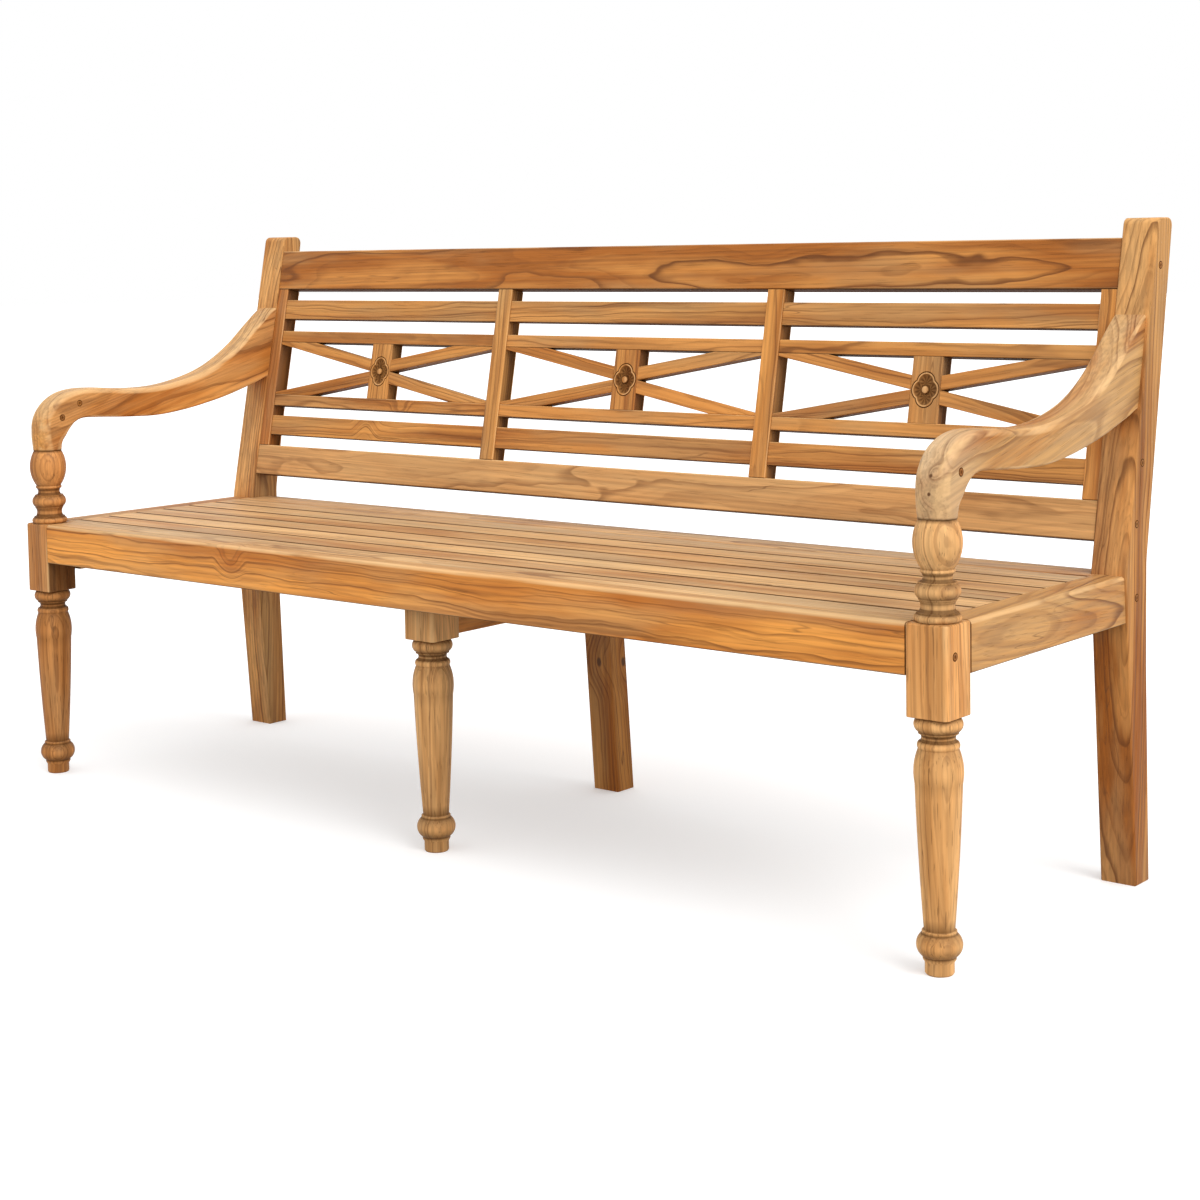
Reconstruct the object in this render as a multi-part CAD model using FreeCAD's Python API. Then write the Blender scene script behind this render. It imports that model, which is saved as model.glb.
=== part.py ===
import FreeCAD, Part
import math
import os

# Three-seat station bench of joined teak, one STEP file for each wooden piece.
# Drawn in millimetres with +X along the seat, +Y to the back and +Z up, the front faces of the legs at y = 0.
# Before export everything is moved so that the origin lies at the bottom centre of the whole bench.

# Whole bench
length = 1800.0
seat_height = 431.0
joint_gap = 0.15
socket_end_gap = 1.0
edge_ease = 2.5

# Turned front legs
block_size = 58.0
block_corner = 7.0
block_joint_corner = 4.0
block_top_ease = 3.0
block_bottom = 316.0
baluster_height = 124.0
arm_tenon_radius = 11.0
arm_tenon_length = 55.0

# Rear posts and middle rear leg, seen from the side
post_width = 53.0
post_overhang = 3.0
post_height = 912.0
post_stand = 26.5
post_foot_front = 495.0
post_seat_front = 464.0
post_rake = 11.6
post_foot_depth = 40.0
post_knee_height = 300.0
post_knee_depth = 53.0
post_seat_depth = 63.0
post_top_depth = 43.0
post_back_bend_rise = 14.0
post_bend_round = 90.0
post_top_round = 11.0
rear_leg_forward = 15.0
rear_leg_width = 51.0
rear_leg_depth = 40.0

# Seat frame
rail_height = 65.0
rail_top_round = 6.0
front_rail_thickness = 30.0
side_rail_thickness = 42.0
rear_rail_thickness = 28.0
rear_rail_set_back = 14.0
end_bearer_thickness = 28.0
end_bearer_height = 61.0
centre_bearer_thickness = 24.0
centre_bearer_height = 89.0
centre_bearer_inset = 1.0

# Seat boards
slat_thickness = 20.0
slat_gap = 3.0
first_slat_width = 48.5
rear_slat_width = 63.0
middle_slat_count = 6

# Scrolled arms
arm_width = 47.0
arm_rise = 243.0
arm_settle_share = 0.3
arm_post_tenon_thickness = 16.0
arm_post_tenon_height = 50.0
arm_post_tenon_rise = 135.0

# Back frame, measured up the slope of the back from the seat level
back_recess = 2.0
back_thickness = 30.0
bottom_rail_start = 45.0
bottom_rail_height = 55.0
top_rail_height = 72.0
slat_space = 20.0
back_slat_height = 36.0
back_slat_thickness = 18.0
cross_space_below = 18.0
cross_space_above = 22.0
cross_panel_height = 140.0
cross_rail_height = 21.0
cross_thickness = 25.0
cross_block_width = 50.0
cross_bar_width = 21.0
cross_bar_thickness = 20.0
cross_bar_corner_rise = 4.5
stile_width = 24.5
mullion_width = 31.0
panel_recess = 2.0
panel_ease = 1.5
rosette_width = 40.0
rosette_height = 47.0
rosette_lobe_radius = 10.5
rosette_boss_radius = 4.5
rosette_depth = 1.6

# Tenons and plugs
tenon_length = 18.0
short_tenon_length = 10.0
block_tenon_length = 7.0
tenon_share = 0.4
tenon_height_share = 0.6
plug_radius = 5.0
plug_depth = 8.0
inner_plug_back = 37.0
inner_plug_rise = 22.0

half_length = length / 2.0
block_inner = half_length - block_size
post_outer = half_length + post_overhang
post_inner = post_outer - post_width
leg_axis_x = half_length - block_size / 2.0
leg_axis_y = block_size / 2.0
arm_axis_x = post_inner + arm_width / 2.0
side_inner = half_length - side_rail_thickness
slat_bottom = seat_height - slat_thickness
rail_bottom = seat_height - rail_height
rake = math.radians(post_rake)
back_front = post_seat_front + back_recess / math.cos(rake)
rear_rail_front = post_seat_front + rear_rail_set_back
rear_rail_back = rear_rail_front + rear_rail_thickness
arm_foot_height = seat_height + baluster_height
parts = {}


def vector(x, y, z):
    return FreeCAD.Vector(x, y, z)


X_AXIS = vector(1, 0, 0)
Y_AXIS = vector(0, 1, 0)
Z_AXIS = vector(0, 0, 1)
ORIGIN = vector(0, 0, 0)


def line(a, b):
    return Part.makeLine(vector(*a), vector(*b))


def arc(a, b, c):
    return Part.Arc(vector(*a), vector(*b), vector(*c)).toShape()


def box(bounds):
    x0, x1, y0, y1, z0, z1 = bounds
    return Part.makeBox(x1 - x0, y1 - y0, z1 - z0, vector(x0, y0, z0))


def socket(bounds, axis):
    """The room cut for a tenon: cleared on its sides and a little longer at the ends along its axis."""
    grown = []
    for index, value in enumerate(bounds):
        outward = -1.0 if index % 2 == 0 else 1.0
        clear = socket_end_gap if index // 2 == axis else joint_gap
        grown.append(value + outward * clear)
    return box(grown)


def rounded_outline(corners, place):
    """A closed wire through the corners (a, b, radius) with each corner rounded, set in space by place(a, b)."""
    starts = []
    ends = []
    middles = []
    count = len(corners)
    for index in range(count):
        a, b, radius = corners[index]
        before = corners[index - 1]
        after = corners[(index + 1) % count]
        to_before = math.hypot(before[0] - a, before[1] - b)
        to_after = math.hypot(after[0] - a, after[1] - b)
        ua = (before[0] - a) / to_before
        ub = (before[1] - b) / to_before
        va = (after[0] - a) / to_after
        vb = (after[1] - b) / to_after
        half_angle = math.acos(max(-1.0, min(1.0, ua * va + ub * vb))) / 2.0
        cut = radius / math.tan(half_angle)
        starts.append((a + ua * cut, b + ub * cut))
        ends.append((a + va * cut, b + vb * cut))
        middle = None
        if radius > 0:
            reach = math.hypot(ua + va, ub + vb)
            sag = radius / math.sin(half_angle) - radius
            middle = (a + (ua + va) / reach * sag, b + (ub + vb) / reach * sag)
        middles.append(middle)
    edges = []
    for index in range(count):
        if middles[index]:
            edges.append(arc(place(*starts[index]), place(*middles[index]), place(*ends[index])))
        following = (index + 1) % count
        edges.append(line(place(*ends[index]), place(*starts[following])))
    return Part.Wire(edges)


def prism_x(corners, x0, x1):
    """Side-view corners (y, z, radius) drawn out along X."""
    wire = rounded_outline(corners, lambda y, z: (x0, y, z))
    return Part.Face(wire).extrude(vector(x1 - x0, 0, 0))


def prism_y(corners, y0, y1):
    """Front-view corners (x, z, radius) drawn out along Y."""
    wire = rounded_outline(corners, lambda x, z: (x, y0, z))
    return Part.Face(wire).extrude(vector(0, y1 - y0, 0))


def prism_z(corners, z0, z1):
    """Plan corners (x, y, radius) drawn out along Z."""
    wire = rounded_outline(corners, lambda x, y: (x, y, z0))
    return Part.Face(wire).extrude(vector(0, 0, z1 - z0))


def rectangle(a0, a1, b0, b1, radius):
    return [(a0, b0, radius), (a1, b0, radius), (a1, b1, radius), (a0, b1, radius)]


def mirrored(shape):
    """The same piece at the other end of the bench."""
    return shape.mirror(ORIGIN, X_AXIS)


def leaned(shape):
    """A piece of the back, drawn upright with its front at y = 0 and the seat level at z = 0, set on the slope."""
    result = shape.copy()
    result.rotate(ORIGIN, X_AXIS, -post_rake)
    result.translate(vector(0, back_front, seat_height))
    return result


def fused(*shapes):
    result = shapes[0]
    for shape in shapes[1:]:
        result = result.fuse(shape)
    return result.removeSplitter().Solids[0]


def centred_span(low, high, share):
    """Bounds of a tenon centred on a board between low and high."""
    centre = (low + high) / 2.0
    half = (high - low) * share / 2.0
    return centre - half, centre + half


# Lathe work. Each step is a point (radius, height) joined by a straight cut, or a curve given by a point on it
# and its end. Radii are drawn for the block named here, and all of it follows the leg's own sizes in proportion.
turning_block = 58.0
leg_turning = [
    (16.5, 0.0), (18.0, 2.0), (18.0, 14.0), (20.5, 18.0), (20.5, 21.0),
    (28.4, 35.0, 21.5, 48.0), (21.5, 51.0), (19.0, 52.5),
    (25.6, 150.0, 29.0, 222.0), (29.8, 245.0, 24.8, 263.0),
    (26.0, 267.0, 24.3, 271.0), (22.5, 271.5), (20.8, 275.5, 22.5, 280.0), (24.6, 280.5), (24.6, 282.5),
    (30.0, 291.0, 24.6, 300.0), (24.6, 302.0),
]
baluster_turning = [
    (25.5, 0.0), (29.2, 5.0, 25.5, 10.0), (25.5, 11.5), (22.8, 12.0), (20.8, 19.0, 22.8, 25.5),
    (23.6, 26.0), (23.6, 27.5), (28.0, 36.5, 23.8, 45.0), (23.8, 46.5), (20.5, 47.0), (17.9, 52.5, 20.2, 57.5),
    (21.5, 59.7, 20.2, 62.0), (30.2, 91.0, 22.5, 120.0),
]


def turned(steps, base, height):
    """A solid of revolution about Z through a lathe profile that starts at the given base and has that height."""
    width_scale = block_size / turning_block
    height_scale = height / steps[-1][-1]
    last = (0.0, 0.0, base)
    edges = []
    for step in steps:
        end = (step[-2] * width_scale, 0.0, base + step[-1] * height_scale)
        if len(step) == 2:
            edges.append(line(last, end))
        else:
            via = (step[0] * width_scale, 0.0, base + step[1] * height_scale)
            edges.append(arc(last, via, end))
        last = end
    edges.append(line(last, (0.0, 0.0, last[2])))
    edges.append(line((0.0, 0.0, last[2]), (0.0, 0.0, base)))
    return Part.Face(Part.Wire(edges)).revolve(ORIGIN, Z_AXIS, 360)


def leg_block(top):
    """The square left on the leg where the rails meet it, with a softened top and outer corner and tighter corners
    beside the rails."""
    half = block_size / 2.0
    corners = rectangle(-half, half, -half, half, block_joint_corner)
    corners[1] = (half, -half, block_corner)
    block = prism_z(corners, block_bottom, top)
    upper = [edge for edge in block.Edges if edge.BoundBox.ZMin > top - joint_gap]
    return block.makeFillet(block_top_ease, upper)


# Front corner legs
lower_turning = turned(leg_turning, 0.0, block_bottom)
baluster = turned(baluster_turning, seat_height, baluster_height)
arm_tenon = Part.makeCylinder(arm_tenon_radius, arm_tenon_length, vector(0, 0, arm_foot_height))
corner_leg = fused(leg_block(seat_height), lower_turning, baluster, arm_tenon)
corner_leg.translate(vector(leg_axis_x, leg_axis_y, 0))

# Middle front leg, behind the front rail
middle_leg_y = front_rail_thickness + block_size / 2.0
middle_leg = fused(leg_block(slat_bottom), lower_turning)
middle_leg.translate(vector(0, middle_leg_y, 0))

# Rear posts: leg, bend at the seat and raked upper part sawn from one plank
post_top_front = post_seat_front + (post_height - seat_height) * math.tan(rake)
post_splay = (post_foot_front - post_seat_front) / seat_height
post_knee_back = post_foot_front - post_splay * post_knee_height + post_knee_depth
post_corners = [
    (post_foot_front, 0.0, 0.0),
    (post_seat_front, seat_height, post_bend_round),
    (post_top_front, post_height, post_top_round),
    (post_top_front + post_top_depth, post_height, post_top_round),
    (post_seat_front + post_seat_depth, seat_height + post_back_bend_rise, post_bend_round),
    (post_knee_back, post_knee_height, post_bend_round),
    (post_foot_front + post_foot_depth, 0.0, 0.0),
]
post_trim = prism_x(post_corners, -post_outer, post_outer)
rear_post = prism_x(post_corners, post_inner, post_outer)
long_edges = []
for edge in rear_post.Edges:
    edge_box = edge.BoundBox
    if edge_box.XLength < joint_gap and edge_box.ZMax > joint_gap:
        long_edges.append(edge)
rear_post = rear_post.makeFillet(edge_ease, long_edges)

# Front rail, tenoned into the corner blocks
front_rail_corners = [
    (0.0, rail_bottom, edge_ease),
    (front_rail_thickness, rail_bottom, edge_ease),
    (front_rail_thickness, seat_height, 0.0),
    (0.0, seat_height, rail_top_round),
]
front_rail = prism_x(front_rail_corners, -block_inner, block_inner)
tenon_y0, tenon_y1 = centred_span(0.0, front_rail_thickness, tenon_share)
tenon_z0, tenon_z1 = centred_span(rail_bottom, seat_height, tenon_height_share)
front_tenon = (block_inner - edge_ease, block_inner + tenon_length, tenon_y0, tenon_y1, tenon_z0, tenon_z1)
corner_leg = corner_leg.cut(socket(front_tenon, 0))
front_rail = fused(front_rail, box(front_tenon), mirrored(box(front_tenon)))
parts["front_rail"] = front_rail

# Side rails, between the corner block and the rear post
side_rail_corners = [
    (side_inner, rail_bottom, edge_ease),
    (half_length, rail_bottom, edge_ease),
    (half_length, seat_height, rail_top_round),
    (side_inner, seat_height, 0.0),
]
side_rail = prism_y(side_rail_corners, block_size, post_seat_front + post_seat_depth / 2.0).cut(post_trim)
tenon_x0, tenon_x1 = centred_span(side_inner, half_length, tenon_share)
side_front_tenon = (tenon_x0, tenon_x1, block_size - tenon_length, block_size + edge_ease, tenon_z0, tenon_z1)
side_rear_tenon = (tenon_x0, tenon_x1, post_seat_front - tenon_length, post_seat_front + tenon_length,
                   tenon_z0, tenon_z1)
corner_leg = corner_leg.cut(socket(side_front_tenon, 1))
rear_post = rear_post.cut(socket(side_rear_tenon, 1))
side_rail = fused(side_rail, box(side_front_tenon), box(side_rear_tenon))
parts["side_rail_right"] = side_rail
parts["side_rail_left"] = mirrored(side_rail)

# Rear rail, hidden under the back edge of the seat
rear_rail_corners = rectangle(rear_rail_front, rear_rail_back, rail_bottom, slat_bottom, panel_ease)
rear_rail = prism_x(rear_rail_corners, -post_inner, post_inner)
tenon_y0, tenon_y1 = centred_span(rear_rail_front, rear_rail_back, tenon_share)
tenon_z0, tenon_z1 = centred_span(rail_bottom, slat_bottom, tenon_height_share)
rear_tenon = (post_inner - edge_ease, post_inner + tenon_length, tenon_y0, tenon_y1, tenon_z0, tenon_z1)
rear_post = rear_post.cut(socket(rear_tenon, 0))
rear_rail = fused(rear_rail, box(rear_tenon), mirrored(box(rear_tenon)))

# Bearers that carry the slats: one inside each side rail and one across the middle
end_bearer_corners = rectangle(side_inner - end_bearer_thickness, side_inner,
                               slat_bottom - end_bearer_height, slat_bottom, panel_ease)
end_bearer = prism_y(end_bearer_corners, block_size, post_seat_front)
parts["seat_bearer_right"] = end_bearer
parts["seat_bearer_left"] = mirrored(end_bearer)
centre_x1 = block_size / 2.0 - centre_bearer_inset
centre_x0 = centre_x1 - centre_bearer_thickness
centre_y0 = front_rail_thickness + block_size
centre_corners = rectangle(centre_x0, centre_x1, slat_bottom - centre_bearer_height, slat_bottom, panel_ease)
centre_bearer = prism_y(centre_corners, centre_y0, rear_rail_front)
tenon_x0, tenon_x1 = centred_span(centre_x0, centre_x1, tenon_share)
centre_front_tenon = (tenon_x0, tenon_x1, centre_y0 - tenon_length, centre_y0 + edge_ease, tenon_z0, tenon_z1)
centre_rear_tenon = (tenon_x0, tenon_x1, rear_rail_front - edge_ease, rear_rail_front + short_tenon_length,
                     tenon_z0, tenon_z1)
middle_leg = middle_leg.cut(socket(centre_front_tenon, 1))
rear_rail = rear_rail.cut(socket(centre_rear_tenon, 1))
parts["seat_bearer_centre"] = fused(centre_bearer, box(centre_front_tenon), box(centre_rear_tenon))
parts["front_leg_middle"] = middle_leg.Solids[0]
parts["rear_rail"] = rear_rail.Solids[0]

# Middle rear leg, lapped on the rear rail beside the centre bearer
rear_leg_foot = post_foot_front - rear_leg_forward
rear_leg_top = rear_leg_foot - post_splay * slat_bottom
rear_leg_lap = rear_leg_foot - post_splay * rail_bottom + rear_leg_depth
rear_leg_corners = [
    (rear_leg_foot, 0.0, 0.0),
    (rear_leg_top, slat_bottom, 0.0),
    (rear_rail_front, slat_bottom, 0.0),
    (rear_rail_front, rail_bottom, 0.0),
    (rear_leg_lap, rail_bottom, 0.0),
    (rear_leg_foot + rear_leg_depth, 0.0, 0.0),
]
parts["rear_leg_middle"] = prism_x(rear_leg_corners, centre_x0 - rear_leg_width, centre_x0)


# Seat boards from front to rear, notched round the corner blocks and the rear posts
def seat_board(y0, y1):
    return prism_x(rectangle(y0, y1, slat_bottom, seat_height, edge_ease), -side_inner, side_inner)


first_slat_back = front_rail_thickness + first_slat_width
rear_slat_front = rear_rail_back - rear_slat_width
middle_slat_width = (rear_slat_front - first_slat_back - (middle_slat_count + 1) * slat_gap) / middle_slat_count
block_notch = (block_inner - joint_gap, post_outer, 0.0, block_size + joint_gap, block_bottom, post_height)
post_notch = (post_inner - joint_gap, post_outer, post_seat_front - joint_gap, post_foot_front + post_seat_depth,
              block_bottom, post_height)
first_slat = seat_board(front_rail_thickness, first_slat_back).cut(box(block_notch))
parts["seat_slat_1"] = first_slat.cut(mirrored(box(block_notch))).Solids[0]
for index in range(middle_slat_count):
    slat_front = first_slat_back + slat_gap + index * (middle_slat_width + slat_gap)
    parts["seat_slat_%d" % (index + 2)] = seat_board(slat_front, slat_front + middle_slat_width)
rear_slat = seat_board(rear_slat_front, rear_rail_back).cut(box(post_notch))
parts["seat_slat_%d" % (middle_slat_count + 2)] = rear_slat.cut(mirrored(box(post_notch))).Solids[0]

# Scrolled arm, lofted through sections from the post to the baluster. Each section is a rounded rectangle between a
# point on the upper line and one on the lower line: share of the reach from leg axis to post and share of the arm's
# rise above its foot, for both points, then the corner radii above and below as shares of the arm's width.
arm_reach = post_seat_front + (arm_post_tenon_rise + baluster_height) * math.tan(rake) - leg_axis_y
arm_sections = [
    (1.120, 1.000, 1.050, 0.416, 0.07, 0.09),
    (1.037, 0.926, 0.986, 0.403, 0.08, 0.09),
    (0.964, 0.819, 0.934, 0.368, 0.11, 0.09),
    (0.871, 0.671, 0.871, 0.331, 0.15, 0.09),
    (0.774, 0.553, 0.797, 0.290, 0.19, 0.09),
    (0.677, 0.473, 0.710, 0.251, 0.21, 0.09),
    (0.564, 0.418, 0.589, 0.209, 0.21, 0.09),
    (0.455, 0.392, 0.461, 0.184, 0.21, 0.09),
    (0.331, 0.393, 0.327, 0.190, 0.21, 0.09),
    (0.208, 0.413, 0.198, 0.206, 0.21, 0.09),
    (0.121, 0.414, 0.130, 0.210, 0.21, 0.11),
    (0.054, 0.387, 0.095, 0.189, 0.23, 0.13),
    (0.000, 0.325, 0.071, 0.144, 0.26, 0.17),
    (-0.036, 0.230, 0.055, 0.093, 0.30, 0.23),
    (-0.047, 0.115, 0.046, 0.053, 0.36, 0.34),
    (-0.045, 0.000, 0.045, 0.000, 0.43, 0.43),
]


def arm_section(upper_reach, upper_share, lower_reach, lower_share, upper_round, lower_round):
    upper_y = leg_axis_y + upper_reach * arm_reach
    lower_y = leg_axis_y + lower_reach * arm_reach
    lower_rise = lower_share * arm_rise
    rise = upper_share * arm_rise - lower_rise
    height = math.hypot(upper_y - lower_y, rise)
    up_y = (upper_y - lower_y) / height
    up_z = rise / height
    settled = max(0.0, min(1.0, upper_reach / arm_settle_share))
    centre = leg_axis_x + settled * (arm_axis_x - leg_axis_x)

    def place(across, up):
        return (centre + across, lower_y + up * up_y, arm_foot_height + lower_rise + up * up_z)

    half = arm_width / 2.0
    corners = [
        (-half, 0.0, lower_round * arm_width),
        (half, 0.0, lower_round * arm_width),
        (half, height, upper_round * arm_width),
        (-half, height, upper_round * arm_width),
    ]
    return rounded_outline(corners, place)


arm_wires = [arm_section(*section) for section in arm_sections]
arm = Part.makeLoft(arm_wires, True, False).cut(post_trim)
arm = max(arm.Solids, key=lambda solid: solid.Volume)
tenon_z0 = arm_foot_height + arm_post_tenon_rise
tenon_z1 = tenon_z0 + arm_post_tenon_height
tenon_x0 = arm_axis_x - arm_post_tenon_thickness / 2.0
tenon_x1 = arm_axis_x + arm_post_tenon_thickness / 2.0
post_front_low = post_seat_front + (tenon_z0 - seat_height) * math.tan(rake)
post_front_high = post_seat_front + (tenon_z1 - seat_height) * math.tan(rake)
arm_tenon_bounds = (tenon_x0, tenon_x1, post_front_low - tenon_length, post_front_high + tenon_length,
                    tenon_z0, tenon_z1)
rear_post = rear_post.cut(socket(arm_tenon_bounds, 1))
arm = fused(arm, box(arm_tenon_bounds))
arm_socket = Part.makeCylinder(arm_tenon_radius + joint_gap, arm_tenon_length + socket_end_gap,
                               vector(leg_axis_x, leg_axis_y, arm_foot_height))
arm = arm.cut(arm_socket)

# Back frame, drawn upright and then leaned: heights up the slope. The rails and slats keep their own heights, and the
# spaces and crossed panel between them fill the rest of the way up to the top rail, just below the post tops.
top_rail_end = (post_height - post_stand - seat_height) / math.cos(rake)
board_heights = bottom_rail_height + top_rail_height + 2.0 * back_slat_height
open_heights = bottom_rail_start + 2.0 * slat_space + cross_space_below + cross_panel_height + cross_space_above
stretch = (top_rail_end - board_heights) / open_heights
bottom_rail_low = stretch * bottom_rail_start
bottom_rail_top = bottom_rail_low + bottom_rail_height
lower_slat_start = bottom_rail_top + stretch * slat_space
cross_start = lower_slat_start + back_slat_height + stretch * cross_space_below
cross_end = cross_start + stretch * cross_panel_height
upper_slat_start = cross_end + stretch * cross_space_above
top_rail_start = top_rail_end - top_rail_height
panel_width = (2.0 * post_inner - 2.0 * stile_width - 2.0 * mullion_width) / 3.0
stile_inner = post_inner - stile_width
mullion_inner = panel_width / 2.0
mullion_outer = mullion_inner + mullion_width


def back_rail(z0, z1):
    """A rail from post to post with a tenon at each end, and the tenon's bounds at the right end."""
    rail = prism_x(rectangle(0.0, back_thickness, z0, z1, edge_ease), -post_inner, post_inner)
    y0, y1 = centred_span(0.0, back_thickness, tenon_share)
    t0, t1 = centred_span(z0, z1, tenon_height_share)
    tenon = (post_inner - edge_ease, post_inner + tenon_length, y0, y1, t0, t1)
    return fused(rail, box(tenon), mirrored(box(tenon))), tenon


top_rail, top_tenon = back_rail(top_rail_start, top_rail_end)
bottom_rail, bottom_tenon = back_rail(bottom_rail_low, bottom_rail_top)
for tenon in (top_tenon, bottom_tenon):
    rear_post = rear_post.cut(leaned(socket(tenon, 0)))

uprights = {
    "back_stile_right": (stile_inner, post_inner),
    "back_mullion_right": (mullion_inner, mullion_outer),
    "back_mullion_left": (-mullion_outer, -mullion_inner),
    "back_stile_left": (-post_inner, -stile_inner),
}
upright_shapes = {}
for name, (x0, x1) in uprights.items():
    upright = prism_z(rectangle(x0, x1, 0.0, back_thickness, panel_ease), bottom_rail_top, top_rail_start)
    tenon_x0, tenon_x1 = centred_span(x0, x1, tenon_height_share)
    tenon_y0, tenon_y1 = centred_span(0.0, back_thickness, tenon_share)
    upper_tenon = (tenon_x0, tenon_x1, tenon_y0, tenon_y1, top_rail_start - edge_ease,
                   top_rail_start + short_tenon_length)
    lower_tenon = (tenon_x0, tenon_x1, tenon_y0, tenon_y1, bottom_rail_top - short_tenon_length,
                   bottom_rail_top + edge_ease)
    upright_shapes[name] = fused(upright, box(upper_tenon), box(lower_tenon))
    top_rail = top_rail.cut(socket(upper_tenon, 2))
    bottom_rail = bottom_rail.cut(socket(lower_tenon, 2))
parts["back_top_rail"] = leaned(top_rail.Solids[0])
parts["back_bottom_rail"] = leaned(bottom_rail.Solids[0])

# Panels between the uprights: two slats, and a cross of four half bars about a carved block
panels = {
    "left": (-stile_inner, -mullion_outer, "back_stile_left", "back_mullion_left"),
    "centre": (-mullion_inner, mullion_inner, "back_mullion_left", "back_mullion_right"),
    "right": (mullion_outer, stile_inner, "back_mullion_right", "back_stile_right"),
}
cross_low = cross_start + cross_rail_height
cross_high = cross_end - cross_rail_height
cross_middle = (cross_low + cross_high) / 2.0
panel_boards = {
    "lower_slat": (lower_slat_start, lower_slat_start + back_slat_height, back_slat_thickness),
    "cross_rail_bottom": (cross_start, cross_low, cross_thickness),
    "cross_rail_top": (cross_high, cross_end, cross_thickness),
    "upper_slat": (upper_slat_start, upper_slat_start + back_slat_height, back_slat_thickness),
}


def carved_rosette(x):
    """Four hollow petals about a round boss, to be taken out of the face of a centre block."""
    lobes = []
    across = rosette_width / 2.0 - rosette_lobe_radius
    up = rosette_height / 2.0 - rosette_lobe_radius
    for dx, dz in ((across, 0.0), (-across, 0.0), (0.0, up), (0.0, -up)):
        centre = vector(x + dx, 0.0, cross_middle + dz)
        lobes.append(Part.makeCylinder(rosette_lobe_radius, panel_recess + rosette_depth, centre, Y_AXIS))
    hollow = lobes[0].fuse(lobes[1:])
    boss = Part.makeCylinder(rosette_boss_radius, cross_thickness, vector(x, 0.0, cross_middle), Y_AXIS)
    return hollow.cut(boss)


for panel, (x0, x1, left_upright, right_upright) in panels.items():
    centre_x = (x0 + x1) / 2.0
    boards = {}
    for board, (z0, z1, thickness) in panel_boards.items():
        depth = panel_recess + thickness
        shape = prism_x(rectangle(panel_recess, depth, z0, z1, panel_ease), x0, x1)
        tenon_y0, tenon_y1 = centred_span(panel_recess, depth, tenon_share)
        tenon_z0, tenon_z1 = centred_span(z0, z1, tenon_height_share)
        left_tenon = (x0 - short_tenon_length, x0 + edge_ease, tenon_y0, tenon_y1, tenon_z0, tenon_z1)
        right_tenon = (x1 - edge_ease, x1 + short_tenon_length, tenon_y0, tenon_y1, tenon_z0, tenon_z1)
        boards[board] = fused(shape, box(left_tenon), box(right_tenon))
        upright_shapes[left_upright] = upright_shapes[left_upright].cut(socket(left_tenon, 0))
        upright_shapes[right_upright] = upright_shapes[right_upright].cut(socket(right_tenon, 0))
    block_x0 = centre_x - cross_block_width / 2.0
    block_x1 = centre_x + cross_block_width / 2.0
    cross_back = panel_recess + cross_thickness
    block = prism_z(rectangle(block_x0, block_x1, panel_recess, cross_back, panel_ease), cross_low, cross_high)
    tenon_x0, tenon_x1 = centred_span(block_x0, block_x1, tenon_height_share)
    tenon_y0, tenon_y1 = centred_span(panel_recess, cross_back, tenon_share)
    upper_tenon = (tenon_x0, tenon_x1, tenon_y0, tenon_y1, cross_high - edge_ease, cross_high + block_tenon_length)
    lower_tenon = (tenon_x0, tenon_x1, tenon_y0, tenon_y1, cross_low - block_tenon_length, cross_low + edge_ease)
    boards["cross_rail_top"] = boards["cross_rail_top"].cut(socket(upper_tenon, 2))
    boards["cross_rail_bottom"] = boards["cross_rail_bottom"].cut(socket(lower_tenon, 2))
    block = fused(block, box(upper_tenon), box(lower_tenon)).cut(carved_rosette(centre_x))
    boards["block"] = block
    for board, shape in boards.items():
        parts["panel_%s_%s" % (panel, board)] = leaned(shape.Solids[0])

    # Upper right half bar: its lower edge runs from the middle of the block to just under the corner
    bar_rise = cross_high - cross_bar_corner_rise - cross_middle
    bar_run = x1 - block_x1
    bar_slope = bar_rise / bar_run
    bar_tall = cross_bar_width / math.cos(math.atan(bar_slope))
    bar_meets_rail = block_x1 + (cross_high - cross_middle - bar_tall) / bar_slope
    bar_corners = [
        (block_x1, cross_middle, 0.0),
        (x1, cross_high - cross_bar_corner_rise, 0.0),
        (x1, cross_high, 0.0),
        (bar_meets_rail, cross_high, 0.0),
        (block_x1, cross_middle + bar_tall, 0.0),
    ]
    bar = prism_y(bar_corners, panel_recess, panel_recess + cross_bar_thickness)
    centre = vector(centre_x, 0.0, cross_middle)
    lower_bar = bar.mirror(centre, Z_AXIS)
    bars = [bar, lower_bar, bar.mirror(centre, X_AXIS), lower_bar.mirror(centre, X_AXIS)]
    for index, shape in enumerate(bars):
        parts["panel_%s_bar_%d" % (panel, index + 1)] = leaned(shape)

for name, shape in upright_shapes.items():
    parts[name] = leaned(shape.Solids[0])

# Wood plugs over the fixings, in the outer faces of posts and blocks and in both sides of the arms, two inside
def plug(x, y, z, direction, radius, depth):
    """A round plug or its hole, along X from the given point."""
    return Part.makeCylinder(radius, depth, vector(x, y, z), vector(direction, 0, 0))


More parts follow.
